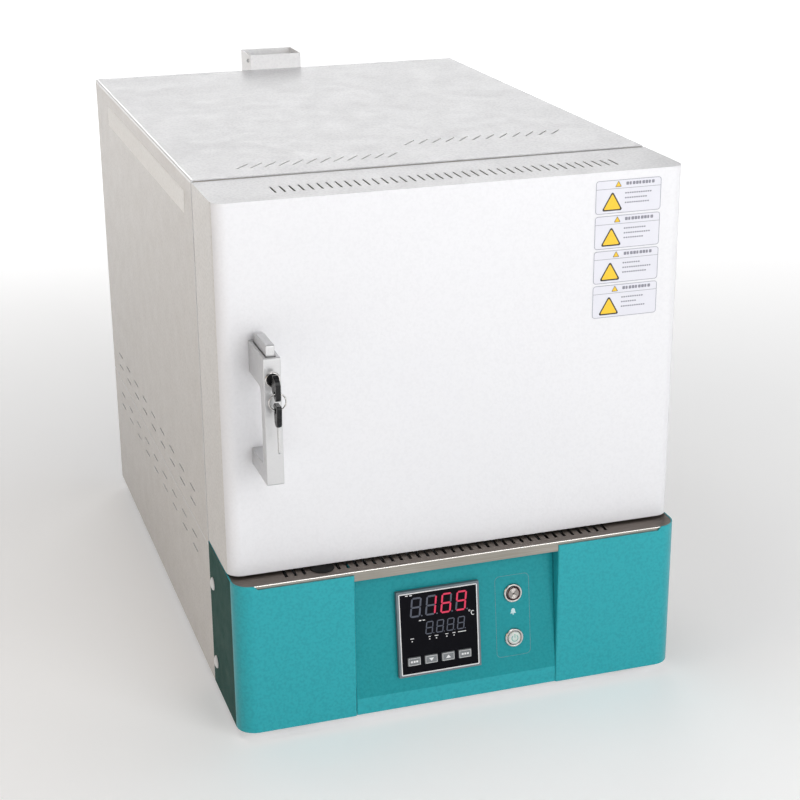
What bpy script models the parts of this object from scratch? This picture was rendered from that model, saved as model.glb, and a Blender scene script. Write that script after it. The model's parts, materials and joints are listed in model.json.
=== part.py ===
"""Bench-top chamber kiln: a white box furnace on a teal control base.

Everything is laid out from the cabinet frame: x = 0 on the cabinet's middle
plane, y = 0 on the cabinet's front face (the door hangs in front of it, so at
negative y), z = 0 on the underside of the base.  The empty "kiln_frame" moves
that frame so that the whole object's box is centred on x and y and its feet
stand on z = 0.  Moving pieces hang from empties placed on their joint axes.
"""

import math

import bmesh
import bpy
from mathutils import Matrix, Vector

# ---------------------------------------------------------------- dimensions
u = 0.001  # one millimetre

W, D, H = 514 * u, 640 * u, 584 * u  # cabinet width, depth, height above the base's underside
SHEET = 1.5 * u
GAP = 0.3 * u
SEAM = 170 * u  # joint between the upper cover and the lower sides
FOOT_H = 12 * u

BASE_D = 130 * u  # how far the teal base stands in front of the cabinet
BASE_R = 21 * u  # its vertical corner radius
BASE_TOP = 175.4 * u
BAY_X0, BAY_X1 = -125.5 * u, 110.5 * u  # recess for the control panel
LIP_NOTCH = 4.4 * u

LEDGE_Z = 175 * u  # top of the stainless ledge
LEDGE_T = 1.2 * u
LEDGE_FRONT = -128.2 * u
LIP_H = 11.6 * u
LEDGE_SLOT_PITCH = 10.06 * u
PLUG_X, PLUG_Y = -155.5 * u, -107.5 * u

FLANGE_SCREW_Y, FLANGE_SCREW_Z = -18 * u, (32.5 * u, 130.5 * u)

DOOR_FRONT, DOOR_BACK = -105 * u, -4 * u
DOOR_Z0, DOOR_Z1 = 177.7 * u, 582.4 * u
DOOR_R = 15 * u
DOOR_SLOTS, DOOR_SLOT_PITCH = 39, 9.9 * u

HINGE_X, HINGE_Y = 263 * u, -1.5 * u  # door pin
HINGE_R, HINGE_PIN_R, HINGE_HALF = 5 * u, 2.5 * u, 30 * u
HINGE_Z = (240 * u, 520 * u)

MOUTH_X, MOUTH_Z0, MOUTH_Z1 = 150 * u, 253 * u, 503 * u
CH_X, CH_Z0, CH_Z1, CH_Y1 = 125 * u, 278 * u, 478 * u, 445 * u  # chamber, inside
CH_Y0 = 45.3 * u
MUFFLE_WALL = 15 * u
JACKET_BACK = 560 * u

EXH_X, EXH_Z, EXH_R, EXH_BORE = -4 * u, 452 * u, 12 * u, 8 * u
DUCT = (-40.5 * u, 32 * u, 640.3 * u, 696.5 * u, 425 * u, 604 * u)  # x0 x1 y0 y1 z0 z1
TC_X, TC_Z, TC_R = 40 * u, 430 * u, 4 * u
ELEMENT_X, ELEMENT_R = 117.5 * u, 2.5 * u
ELEMENT_ROWS = (312 * u, 356 * u, 400 * u, 444 * u)

PANEL_SLOPE = 0.118  # set-back of the control panel per unit of height
PANEL_Z0, PANEL_Z1, PANEL_Y0 = 20 * u, 160 * u, -129.2 * u
PANEL_MID_Z = 88 * u
TILT = math.atan(PANEL_SLOPE)
CTRL_X, CTRL_W, CTRL_H = -28.8 * u, 96 * u, 100 * u
KEY_Z = -32.4 * u
KEY_XS = (-59.3 * u, -39.5 * u, -19.7 * u, 0.1 * u)
KEY_W, KEY_H = 15 * u, 9.6 * u
BUTTON_X, ALARM_DZ, POWER_DZ = 61 * u, 27.6 * u, -25.5 * u
BUTTON_R = 11 * u

HANDLE_X, HANDLE_W = -217.5 * u, 18 * u
HANDLE_FRONT, HANDLE_Z0, HANDLE_Z1 = -168.5 * u, 304.5 * u, 440 * u
GRIP_BACK = -154.5 * u
LOCK_Z = 418 * u
THUMB_PIVOT = (HANDLE_X, -116 * u, 436 * u)
RING_Y, RING_TOP, RING_R, RING_WIRE = -187 * u, 408.9 * u, 8.7 * u, 0.75 * u
KEYS_FRONT = -194.5 * u

# the whole object's box is centred by these
CAP_T = 2.5 * u
LEFT_END = -(W / 2 + GAP + CAP_T)
RIGHT_END = HINGE_X + HINGE_R
FRONT_END, BACK_END = KEYS_FRONT, DUCT[3]
FRAME_AT = Vector((-(LEFT_END + RIGHT_END) / 2, -(FRONT_END + BACK_END) / 2, FOOT_H))

# ---------------------------------------------------------------- clean scene
for old in list(bpy.data.objects):
    bpy.data.objects.remove(old, do_unlink=True)

MATERIALS = {
    "white_powder_coat": ((0.86, 0.86, 0.87), 0.38, 0.0),
    "teal_powder_coat": ((0.035, 0.36, 0.39), 0.36, 0.0),
    "stainless": ((0.46, 0.42, 0.39), 0.34, 1.0),
    "plain_steel": ((0.55, 0.55, 0.56), 0.4, 1.0),
    "die_cast": ((0.68, 0.68, 0.69), 0.32, 0.85),
    "chrome": ((0.8, 0.8, 0.8), 0.12, 1.0),
    "aluminium": ((0.75, 0.76, 0.77), 0.35, 1.0),
    "black_plastic": ((0.02, 0.02, 0.022), 0.35, 0.0),
    "grey_plastic": ((0.32, 0.33, 0.34), 0.45, 0.0),
    "window": ((0.01, 0.01, 0.012), 0.08, 0.0),
    "white_plastic": ((0.8, 0.82, 0.8), 0.4, 0.0),
    "rubber": ((0.03, 0.03, 0.03), 0.8, 0.0),
    "ceramic_fibre": ((0.9, 0.89, 0.85), 0.95, 0.0),
    "fired_ceramic": ((0.78, 0.72, 0.62), 0.85, 0.0),
    "silicon_carbide": ((0.16, 0.16, 0.17), 0.8, 0.0),
    "heating_alloy": ((0.3, 0.27, 0.24), 0.5, 1.0),
}


def material(name):
    made = bpy.data.materials.get(name)
    if made is None:
        made = bpy.data.materials.new(name)
        made.use_nodes = True
        shader = made.node_tree.nodes["Principled BSDF"]
        colour, rough, metal = MATERIALS[name]
        shader.inputs["Base Color"].default_value = (*colour, 1.0)
        shader.inputs["Roughness"].default_value = rough
        shader.inputs["Metallic"].default_value = metal
        made.diffuse_color = (*colour, 1.0)
    return made


# ---------------------------------------------------------------- frames
class Frame:
    """An empty, with the matrix that takes its own coordinates to the cabinet frame."""

    def __init__(self, name, at=(0, 0, 0), parent=None, tilt=0.0):
        self.empty = bpy.data.objects.new(name, None)
        self.empty.empty_display_size = 0.03
        bpy.context.scene.collection.objects.link(self.empty)
        self.matrix = Matrix.Translation(Vector(at)) @ Matrix.Rotation(tilt, 4, "X")
        if parent:
            self.empty.parent = parent.empty
            local = parent.matrix.inverted() @ self.matrix
        else:
            local = Matrix.Translation(FRAME_AT) @ self.matrix
        self.empty.location = local.to_translation()
        self.empty.rotation_euler = local.to_euler()


BODY = Frame("kiln_frame")
PANEL_MID_Y = PANEL_Y0 + (PANEL_MID_Z - PANEL_Z0) * PANEL_SLOPE
PANEL = Frame("panel_frame", (0, PANEL_MID_Y, PANEL_MID_Z), BODY, tilt=-TILT)
DOOR = Frame("door_pivot", (HINGE_X, HINGE_Y, (DOOR_Z0 + DOOR_Z1) / 2), BODY)


# ---------------------------------------------------------------- mesh helpers
def box(bm, x0, x1, y0, y1, z0, z1):
    v = [bm.verts.new((x, y, z)) for z in (z0, z1) for y in (y0, y1) for x in (x0, x1)]
    for a, b, c, d in ((0, 2, 3, 1), (4, 5, 7, 6), (0, 1, 5, 4), (2, 6, 7, 3), (0, 4, 6, 2), (1, 3, 7, 5)):
        bm.faces.new((v[a], v[b], v[c], v[d]))


def prism(bm, points, axis, a, b):
    """A polygon swept along an axis.  Its points are (y, z), (x, z) or (x, y) for axis x, y or z."""

    def at(p, t):
        return {"x": (t, p[0], p[1]), "y": (p[0], t, p[1]), "z": (p[0], p[1], t)}[axis]

    low = [bm.verts.new(at(p, a)) for p in points]
    high = [bm.verts.new(at(p, b)) for p in points]
    bm.faces.new(low)
    bm.faces.new(high)
    for i in range(len(points)):
        j = (i + 1) % len(points)
        bm.faces.new((low[i], low[j], high[j], high[i]))


def rounded(points, radii, steps=4):
    """An open path with its inner corners turned into arcs."""
    path = [Vector(points[0])]
    for i in range(1, len(points) - 1):
        r = radii[i - 1]
        p, a, b = Vector(points[i]), Vector(points[i - 1]), Vector(points[i + 1])
        d0, d1 = (a - p).normalized(), (b - p).normalized()
        half = math.acos(max(-1.0, min(1.0, d0.dot(d1)))) / 2
        if r <= 0 or abs(half - math.pi / 2) < 1e-4:
            path.append(p)
            continue
        reach = r / math.tan(half)
        centre = p + (d0 + d1).normalized() * (r / math.sin(half))
        start, end = p + d0 * reach - centre, p + d1 * reach - centre
        sweep = math.pi - 2 * half
        for k in range(steps + 1):
            t = k / steps
            s = (start * math.sin((1 - t) * sweep) + end * math.sin(t * sweep)) / math.sin(sweep)
            path.append(centre + s)
    path.append(Vector(points[-1]))
    return path


def ribbon(path, thickness):
    """The closed outline of a bent sheet: the path, and the path moved to its left by the thickness."""
    moved = []
    for i, p in enumerate(path):
        sides = []
        if i > 0:
            d = (p - path[i - 1]).normalized()
            sides.append(Vector((-d.y, d.x)))
        if i < len(path) - 1:
            d = (path[i + 1] - p).normalized()
            sides.append(Vector((-d.y, d.x)))
        n = sides[0] if len(sides) == 1 else (sides[0] + sides[1]) / (1 + sides[0].dot(sides[1]))
        moved.append(p + n * thickness)
    return [tuple(p) for p in path] + [tuple(p) for p in reversed(moved)]


def lathe(bm, profile, centre, axis, segments=24, turn=0.0):
    """A closed (radius, along) outline turned about an axis through centre."""
    c = Vector(centre)

    def at(r, h, a):
        s, t = r * math.cos(a), r * math.sin(a)
        return c + Vector({"x": (h, s, t), "y": (s, h, t), "z": (s, t, h)}[axis])

    rings = []
    for r, h in profile:
        if r < 1e-9:
            rings.append([bm.verts.new(at(0, h, 0))])
        else:
            rings.append([bm.verts.new(at(r, h, turn + 2 * math.pi * k / segments)) for k in range(segments)])
    for i in range(len(rings)):
        a, b = rings[i], rings[(i + 1) % len(rings)]
        if len(a) == 1 and len(b) == 1:
            continue
        for k in range(segments):
            m = (k + 1) % segments
            if len(a) == 1:
                bm.faces.new((a[0], b[m], b[k]))
            elif len(b) == 1:
                bm.faces.new((a[k], a[m], b[0]))
            else:
                bm.faces.new((a[k], a[m], b[m], b[k]))


def solid_round(bm, radius, centre, axis, a, b, segments=24, turn=0.0):
    lathe(bm, [(0, a), (radius, a), (radius, b), (0, b)], centre, axis, segments, turn)


def torus(bm, centre, major, minor, segments=28, sides=8):
    """A ring that lies in the x-z plane."""
    rings = []
    for i in range(segments):
        a = 2 * math.pi * i / segments
        ring = []
        for k in range(sides):
            b = 2 * math.pi * k / sides
            r = major + minor * math.cos(b)
            ring.append(bm.verts.new(Vector(centre) + Vector((r * math.cos(a), minor * math.sin(b), r * math.sin(a)))))
        rings.append(ring)
    for i in range(segments):
        p, q = rings[i], rings[(i + 1) % segments]
        for k in range(sides):
            m = (k + 1) % sides
            bm.faces.new((p[k], p[m], q[m], q[k]))


def make(name, build, mat, frame=BODY, smooth=False, local=False):
    """An object whose mesh is drawn in the cabinet frame, or with local=True in its own frame, and kept in its frame."""
    bm = bmesh.new()
    build(bm)
    bmesh.ops.recalc_face_normals(bm, faces=bm.faces)
    mesh = bpy.data.meshes.new(name)
    if not local:
        bm.transform(frame.matrix.inverted())
    bm.to_mesh(mesh)
    bm.free()
    if smooth:
        mesh.shade_smooth()
        mesh.set_sharp_from_angle(angle=math.radians(35))
    mesh.materials.append(material(mat))
    obj = bpy.data.objects.new(name, mesh)
    bpy.context.scene.collection.objects.link(obj)
    obj.parent = frame.empty
    return obj


def helper(name, build, frame, local=False):
    obj = make(name, build, "plain_steel", frame, local=local)
    obj.hide_render = True
    obj.display_type = "WIRE"
    return obj


def combine(obj, operation, tag, build, frame, local=False):
    tool = helper(obj.name + "_" + tag, build, frame, local)
    step = obj.modifiers.new(tag, "BOOLEAN")
    step.operation = operation
    step.solver = "EXACT"
    step.object = tool
    return obj


def cut(obj, tag, build, frame=BODY, local=False):
    return combine(obj, "DIFFERENCE", tag, build, frame, local)


def fuse(obj, tag, build, frame=BODY, local=False):
    return combine(obj, "UNION", tag, build, frame, local)


# ---------------------------------------------------------------- cabinet
def side_slots(bm, rows):
    """Nine level slots in each row, through both sides of the cabinet."""
    for z in rows:
        for k in range(9):
            y = 66 * u + 61.8 * u * k
            box(bm, -W / 2 - 5 * u, W / 2 + 5 * u, y, y + 28 * u, z - 1.1 * u, z + 1.1 * u)


def diagonal_slot(bm, x, y):
    length, width, angle = 26.5 * u, 2.2 * u, math.radians(50)
    along = Vector((math.cos(angle), math.sin(angle))) * length
    across = Vector((-math.sin(angle), math.cos(angle))) * width / 2
    start = Vector((x, y))
    corners = [start - across, start + along - across, start + along + across, start + across]
    prism(bm, [tuple(c) for c in corners], "z", H - 5 * u, H + 5 * u)


def upper_cover(bm):
    path = rounded([(W / 2, SEAM + 1 * u), (W / 2, H), (-W / 2, H), (-W / 2, SEAM + 1 * u)], [3 * u, 3 * u], 3)
    prism(bm, ribbon(path, SHEET), "y", 0, D)


def top_slots(bm):
    for k in range(12):
        diagonal_slot(bm, -199.7 * u + 15.3 * u * k, 35 * u)
        diagonal_slot(bm, 6 * u + 16.2 * u * k, 90 * u)


cover = make("upper_cover", upper_cover, "white_powder_coat")
cut(cover, "top_slots", top_slots)
cut(cover, "side_slots", lambda bm: side_slots(bm, (SEAM + 20.5 * u, SEAM + 38 * u)))

for label, s in (("left", -1), ("right", 1)):
    x0, x1 = sorted((s * W / 2, s * (W / 2 - SHEET)))
    side = make("lower_side_" + label, lambda bm: box(bm, x0, x1, 0, D, 0, SEAM - 0.5 * u), "white_powder_coat")
    cut(side, "slots", lambda bm: side_slots(bm, (SEAM - 20.5 * u, SEAM - 38 * u)))


def base_pan(bm):
    x, r = W / 2 - SHEET - GAP, BASE_R - 1 * u
    y0, y1 = -127.2 * u, D - SHEET - GAP
    path = rounded([(x, y1), (x, y0), (-x, y0), (-x, y1)], [r, r], 4)
    prism(bm, [tuple(p) for p in path], "z", 0, SHEET)


def pan_slots(bm):
    for x in (-120, 0, 120):
        for k in range(6):
            y = 120 * u + 70 * u * k
            box(bm, (x - 35) * u, (x + 35) * u, y, y + 5 * u, -5 * u, 8 * u)


cut(make("base_pan", base_pan, "white_powder_coat"), "slots", pan_slots)



def end_sheet(bm, z0, y0):
    """A sheet that closes one end of the cabinet, its upper corners clipped for the cover's bends."""
    x, z1, clip = W / 2 - SHEET - GAP, H - SHEET - GAP, 1.2 * u
    points = [(-x, z0), (x, z0), (x, z1 - clip), (x - clip, z1), (-x + clip, z1), (-x, z1 - clip)]
    prism(bm, points, "y", y0, y0 + SHEET)


rear = make("rear_panel", lambda bm: end_sheet(bm, SHEET + GAP, D - SHEET), "white_powder_coat")


def rear_openings(bm):
    for x in (-185, 100):
        for k in range(6):
            z = (74 + 13 * k) * u
            box(bm, x * u, (x + 85) * u, D - 8 * u, D + 5 * u, z, z + 3 * u)
    solid_round(bm, EXH_R + 0.6 * u, (EXH_X, 0, EXH_Z), "y", D - 8 * u, D + 5 * u, 20)
    solid_round(bm, 10.3 * u, (215 * u, 0, 45 * u), "y", D - 8 * u, D + 5 * u, 20)


cut(rear, "openings", rear_openings)

make(
    "mid_deck",
    lambda bm: box(bm, -W / 2 + SHEET + GAP, W / 2 - SHEET - GAP, 1.8 * u, D - SHEET - GAP, 168.6 * u, 170.1 * u),
    "plain_steel",
)

LATCH_SLOT = (HANDLE_X - 6 * u, HANDLE_X + 6 * u, 398 * u, 424 * u)
face = make("front_frame", lambda bm: end_sheet(bm, 172 * u, 0), "stainless")


def face_openings(bm):
    box(bm, -MOUTH_X, MOUTH_X, -5 * u, 6 * u, MOUTH_Z0, MOUTH_Z1)
    box(bm, LATCH_SLOT[0], LATCH_SLOT[1], -5 * u, 6 * u, LATCH_SLOT[2], LATCH_SLOT[3])


cut(face, "openings", face_openings)

striker = make(
    "latch_striker", lambda bm: box(bm, HANDLE_X - 13 * u, HANDLE_X + 13 * u, -1.5 * u, -GAP, 382 * u, 434 * u), "plain_steel"
)
cut(striker, "slot", lambda bm: box(bm, LATCH_SLOT[0], LATCH_SLOT[1], -5 * u, 5 * u, LATCH_SLOT[2], LATCH_SLOT[3]))


# ---------------------------------------------------------------- base front
def base_block(bm, x_side, x_bay):
    s = 1 if x_side > 0 else -1
    points = [(x_side, -0.5 * u), (x_side, -BASE_D), (x_bay, -BASE_D), (x_bay, -104 * u)]
    path = rounded(points, [BASE_R, 2 * u], 6)
    if s > 0:  # keep the sheet on the inner side of the path
        path = list(reversed(path))
    prism(bm, ribbon(path, SHEET), "z", 0, BASE_TOP)


def lip_notch(bm):
    """Lets the ledge's lip show over the block; its ends slope at 45 degrees, like the lip's."""
    x, z, out = W / 2 - BASE_R, BASE_TOP - LIP_NOTCH, 5 * u
    points = [(LIP_NOTCH - x, z), (x - LIP_NOTCH, z), (x + out, BASE_TOP + out), (-x - out, BASE_TOP + out)]
    prism(bm, points, "y", -BASE_D - 5 * u, -BASE_D + 2.5 * u)


def return_relief(bm, x):
    """Clears the base pan's edge and the ledge's lip from the flange that turns back beside the recess."""
    box(bm, x - 3 * u, x + 3 * u, -BASE_D + 1.8 * u, -95 * u, -5 * u, SHEET + GAP)
    box(bm, x - 3 * u, x + 3 * u, -BASE_D + 1.6 * u, LEDGE_FRONT + LEDGE_T + GAP, LEDGE_Z - LIP_H - GAP, BASE_TOP + 5 * u)


def ledge_relief(bm, x):
    """Keeps the same flange below the ledge's sheet."""
    box(bm, x - 3 * u, x + 3 * u, -BASE_D + 1.6 * u, -95 * u, LEDGE_Z - LEDGE_T - GAP, BASE_TOP + 5 * u)


for label, x_side, x_bay in (("left", -W / 2, BAY_X0), ("right", W / 2, BAY_X1)):
    block = make("base_block_" + label, lambda bm: base_block(bm, x_side, x_bay), "teal_powder_coat")
    cut(block, "notch", lip_notch)
    cut(block, "relief", lambda bm: return_relief(bm, x_bay))
    cut(block, "top_relief", lambda bm: ledge_relief(bm, x_bay))


def control_panel(bm):
    y1 = PANEL_Y0 + (PANEL_Z1 - PANEL_Z0) * PANEL_SLOPE
    path = [Vector(p) for p in ((-100 * u, PANEL_Z1), (y1, PANEL_Z1), (PANEL_Y0, PANEL_Z0), (PANEL_Y0, 0.3 * u))]
    prism(bm, ribbon(path, SHEET), "x", BAY_X0 + GAP, BAY_X1 - GAP)


def panel_openings(bm):
    box(bm, CTRL_X - 46.5 * u, CTRL_X + 46.5 * u, -8 * u, 8 * u, -47.5 * u, 47.5 * u)
    for dz in (ALARM_DZ, POWER_DZ):
        solid_round(bm, 9.8 * u, (BUTTON_X, 0, dz), "y", -8 * u, 8 * u, 20)


cut(make("control_panel", control_panel, "teal_powder_coat"), "openings", panel_openings, PANEL, local=True)


def ledge_plate(bm):
    x, r = W / 2 - SHEET - GAP, BASE_R - SHEET - GAP
    path = rounded([(x, -GAP), (x, LEDGE_FRONT), (-x, LEDGE_FRONT), (-x, -GAP)], [r, r], 5)
    prism(bm, [tuple(p) for p in path], "z", LEDGE_Z - LEDGE_T, LEDGE_Z)


def ledge_lip(bm):
    x, top, clip = W / 2 - BASE_R - 1 * u, LEDGE_Z - LEDGE_T / 2, 5 * u
    right = [(x - clip, LEDGE_Z - LIP_H), (x - clip, top - clip), (x, top)]
    prism(bm, right + [(-px, z) for px, z in reversed(right)], "y", LEDGE_FRONT, LEDGE_FRONT + LEDGE_T)


def ledge_slots(bm):
    for k in range(3):
        x = -196.9 * u + LEDGE_SLOT_PITCH * k
        box(bm, x - 1.7 * u, x + 1.7 * u, -117 * u, -80 * u, LEDGE_Z - 8 * u, LEDGE_Z + 5 * u)
    for k in range(32):
        x = -138.4 * u + LEDGE_SLOT_PITCH * k
        box(bm, x - 1.7 * u, x + 1.7 * u, -117 * u, -80 * u, LEDGE_Z - 8 * u, LEDGE_Z + 5 * u)
    solid_round(bm, 11.8 * u, (PLUG_X, PLUG_Y, 0), "z", LEDGE_Z - 8 * u, LEDGE_Z + 5 * u, 24)


ledge = make("ledge_plate", ledge_plate, "stainless")
fuse(ledge, "lip", ledge_lip)
cut(ledge, "slots", ledge_slots)

make(
    "hole_plug",
    lambda bm: lathe(
        bm,
        [(0, -7 * u), (10.8 * u, -7 * u), (11.5 * u, -1.4 * u), (11.5 * u, GAP), (13.5 * u, GAP), (12.8 * u, 1.1 * u), (0, 1.3 * u)],
        (PLUG_X, PLUG_Y, LEDGE_Z),
        "z",
        24,
    ),
    "rubber",
    smooth=True,
)

for label, x, y in (("front_left", -195, -85), ("front_right", 195, -85), ("rear_left", -195, 600), ("rear_right", 195, 600)):
    make(
        "foot_" + label,
        lambda bm: lathe(bm, [(0, -FOOT_H), (14 * u, -FOOT_H), (16 * u, -2 * u), (16 * u, -GAP), (0, -GAP)], (x * u, y * u, 0), "z", 20),
        "rubber",
        smooth=True,
    )

for label, s in (("left", -1), ("right", 1)):
    for place, z in (("upper", FLANGE_SCREW_Z[1]), ("lower", FLANGE_SCREW_Z[0])):
        at = s * (W / 2 + GAP)
        make(
            "flange_screw_" + label + "_" + place,
            lambda bm: lathe(bm, [(0, 0), (7.6 * u, 0), (7.1 * u, s * 1.3 * u), (4.4 * u, s * CAP_T), (0, s * CAP_T)], (at, FLANGE_SCREW_Y, z), "x", 18),
            "white_plastic",
            smooth=True,
        )


# ---------------------------------------------------------------- hot parts
def round_passages(bm, y0, y1):
    solid_round(bm, EXH_R + 0.6 * u, (EXH_X, 0, EXH_Z), "y", y0, y1, 20)
    solid_round(bm, TC_R + 0.6 * u, (TC_X, 0, TC_Z), "y", y0, y1, 14)
    for s in (-1, 1):
        for z in (ELEMENT_ROWS[0], ELEMENT_ROWS[-1]):
            solid_round(bm, ELEMENT_R + 1 * u, (s * ELEMENT_X, 0, z), "y", y0, y1, 12)


jacket = make("insulation_jacket", lambda bm: box(bm, -232 * u, 232 * u, 2 * u, JACKET_BACK, 170.4 * u, 567 * u), "ceramic_fibre")


def jacket_hollow(bm):
    box(bm, -CH_X - MUFFLE_WALL - 1 * u, CH_X + MUFFLE_WALL + 1 * u, 40 * u, CH_Y1 + MUFFLE_WALL + 0.5 * u, CH_Z0 - MUFFLE_WALL - 1 * u, CH_Z1 + MUFFLE_WALL + 1 * u)


cut(jacket, "hollow", jacket_hollow)
cut(jacket, "mouth", lambda bm: box(bm, -MOUTH_X, MOUTH_X, -5 * u, 45 * u, MOUTH_Z0, MOUTH_Z1))
cut(jacket, "latch_pocket", lambda bm: box(bm, HANDLE_X - 8 * u, HANDLE_X + 8 * u, -5 * u, 18 * u, 392 * u, 424 * u))
cut(jacket, "passages", lambda bm: round_passages(bm, 450 * u, JACKET_BACK + 10 * u))

muffle = make(
    "muffle",
    lambda bm: box(bm, -CH_X - MUFFLE_WALL, CH_X + MUFFLE_WALL, CH_Y0, CH_Y1 + MUFFLE_WALL, CH_Z0 - MUFFLE_WALL, CH_Z1 + MUFFLE_WALL),
    "fired_ceramic",
)
cut(muffle, "chamber", lambda bm: box(bm, -CH_X, CH_X, CH_Y0 - 10 * u, CH_Y1, CH_Z0, CH_Z1))
cut(muffle, "passages", lambda bm: round_passages(bm, CH_Y1 - 10 * u, CH_Y1 + MUFFLE_WALL + 10 * u))

make("hearth_plate", lambda bm: box(bm, -104 * u, 104 * u, 52 * u, 436 * u, CH_Z0 + GAP, CH_Z0 + 12 * u), "silicon_carbide")


def element(name, x):
    """A rod bent into four level runs, its two tails leaving through the back wall."""
    front, back, tail = 78 * u, 410 * u, 588 * u
    half = (ELEMENT_ROWS[1] - ELEMENT_ROWS[0]) / 2
    points = [(tail, ELEMENT_ROWS[0])]
    for i, end in enumerate((front, back, front)):
        z = ELEMENT_ROWS[i]
        way = -1 if end == front else 1
        for k in range(7):
            a = math.pi * k / 6
            points.append((end + way * half * math.sin(a), z + half - half * math.cos(a)))
    points.append((tail, ELEMENT_ROWS[3]))
    curve = bpy.data.curves.new(name, "CURVE")
    curve.dimensions = "3D"
    curve.bevel_depth = ELEMENT_R
    curve.bevel_resolution = 1
    curve.use_fill_caps = True
    spline = curve.splines.new("POLY")
    spline.points.add(len(points) - 1)
    for point, (y, z) in zip(spline.points, points):
        point.co = (x, y, z, 1)
    curve.materials.append(material("heating_alloy"))
    obj = bpy.data.objects.new(name, curve)
    bpy.context.scene.collection.objects.link(obj)
    obj.parent = BODY.empty


element("heating_element_left", -ELEMENT_X)
element("heating_element_right", ELEMENT_X)

make(
    "thermocouple",
    lambda bm: lathe(
        bm,
        [(0, 398 * u), (TC_R, 400 * u), (TC_R, 562 * u), (11 * u, 562 * u), (11 * u, 590 * u), (0, 590 * u)],
        (TC_X, 0, TC_Z),
        "y",
        14,
    ),
    "fired_ceramic",
    smooth=True,
)
make(
    "exhaust_tube",
    lambda bm: lathe(bm, [(EXH_BORE, 440 * u), (EXH_R, 440 * u), (EXH_R, 646 * u), (EXH_BORE, 646 * u)], (EXH_X, 0, EXH_Z), "y", 20),
    "fired_ceramic",
    smooth=True,
)

duct = make("vent_duct", lambda bm: box(bm, *DUCT), "white_powder_coat")
cut(duct, "hollow", lambda bm: box(bm, DUCT[0] + SHEET, DUCT[1] - SHEET, DUCT[2] + SHEET, DUCT[3] - SHEET, DUCT[4] + SHEET, DUCT[5] + 10 * u))
cut(duct, "inlet", lambda bm: solid_round(bm, EXH_R + 0.6 * u, (EXH_X, 0, EXH_Z), "y", DUCT[2] - 10 * u, DUCT[2] + 8 * u, 20))


# ---------------------------------------------------------------- electrics
def heat_sink(bm):
    """A base with nine fins, cut as one comb and swept along y."""
    x0, z0, pitch, fin = -190 * u, 2 * u, 12 * u, 3 * u
    points = [(x0, z0), (x0 + 8 * pitch + fin, z0)]
    for k in reversed(range(9)):
        x = x0 + k * pitch
        points += [(x + fin, z0 + 42 * u), (x, z0 + 42 * u)]
        if k:
            points += [(x, z0 + 8 * u), (x - pitch + fin, z0 + 8 * u)]
    prism(bm, points, "y", 220 * u, 340 * u)


make("heat_sink", heat_sink, "aluminium")


def relay(bm):
    x, y, z = -188 * u + 0.3 * u, 345 * u, 2 * u
    prism(
        bm,
        [(y, z), (y + 58 * u, z), (y + 58 * u, z + 16 * u), (y + 46 * u, z + 16 * u), (y + 46 * u, z + 25 * u), (y + 12 * u, z + 25 * u), (y + 12 * u, z + 16 * u), (y, z + 16 * u)],
        "x",
        x,
        x + 45 * u,
    )


make("solid_state_relay", relay, "black_plastic")


def terminal_block(bm):
    x0, z0, pitch = 40 * u, 2 * u, 12 * u
    points = [(x0, z0), (x0 + 8 * pitch, z0), (x0 + 8 * pitch, z0 + 20 * u)]
    for k in reversed(range(8)):
        x = x0 + k * pitch
        points += [(x + 11 * u, z0 + 20 * u), (x + 11 * u, z0 + 14 * u), (x + 2 * u, z0 + 14 * u), (x + 2 * u, z0 + 20 * u)]
    points += [(x0, z0 + 20 * u)]
    prism(bm, points, "y", 480 * u, 506 * u)


make("terminal_block", terminal_block, "black_plastic")

gland = make(
    "cable_gland",
    lambda bm: lathe(
        bm,
        [(4.5 * u, 631 * u), (9.8 * u, 631 * u), (9.8 * u, D + GAP), (13.5 * u, D + GAP), (13.5 * u, D + 6 * u), (11.5 * u, D + 8 * u), (11.5 * u, D + 17 * u), (8 * u, D + 23 * u), (4.5 * u, D + 23 * u)],
        (215 * u, 0, 45 * u),
        "y",
        18,
    ),
    "black_plastic",
    smooth=True,
)

# ---------------------------------------------------------------- controller, in the tilted panel's own axes
# y = 0 is the panel's outer face there, and the outside is at negative y
housing = make(
    "controller_housing",
    lambda bm: box(bm, CTRL_X - CTRL_W / 2, CTRL_X + CTRL_W / 2, -6 * u, -GAP, -CTRL_H / 2, CTRL_H / 2),
    "black_plastic",
    PANEL,
    local=True,
)
fuse(housing, "rear_case", lambda bm: box(bm, CTRL_X - 45.5 * u, CTRL_X + 45.5 * u, -2 * u, 72 * u, -46.5 * u, 46.5 * u), PANEL, local=True)


def housing_recess(bm):
    box(bm, CTRL_X - 45 * u, CTRL_X + 45 * u, -12 * u, -4.4 * u, -47 * u, 47 * u)


def housing_key_wells(bm):
    for x in KEY_XS:
        box(bm, x - KEY_W / 2 - 0.6 * u, x + KEY_W / 2 + 0.6 * u, -5 * u, -1 * u, KEY_Z - KEY_H / 2 - 0.6 * u, KEY_Z + KEY_H / 2 + 0.6 * u)


cut(housing, "recess", housing_recess, PANEL, local=True)
cut(housing, "key_wells", housing_key_wells, PANEL, local=True)

window = make(
    "controller_window",
    lambda bm: box(bm, CTRL_X - 44.7 * u, CTRL_X + 44.7 * u, -5.7 * u, -4.7 * u, -46.7 * u, 46.7 * u),
    "window",
    PANEL,
    local=True,
)


def window_key_holes(bm):
    for x in KEY_XS:
        box(bm, x - KEY_W / 2 - 0.5 * u, x + KEY_W / 2 + 0.5 * u, -9 * u, -1 * u, KEY_Z - KEY_H / 2 - 0.5 * u, KEY_Z + KEY_H / 2 + 0.5 * u)


cut(window, "key_holes", window_key_holes, PANEL, local=True)


def on_panel(x, y, z):
    return tuple(PANEL.matrix @ Vector((x, y, z)))


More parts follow.
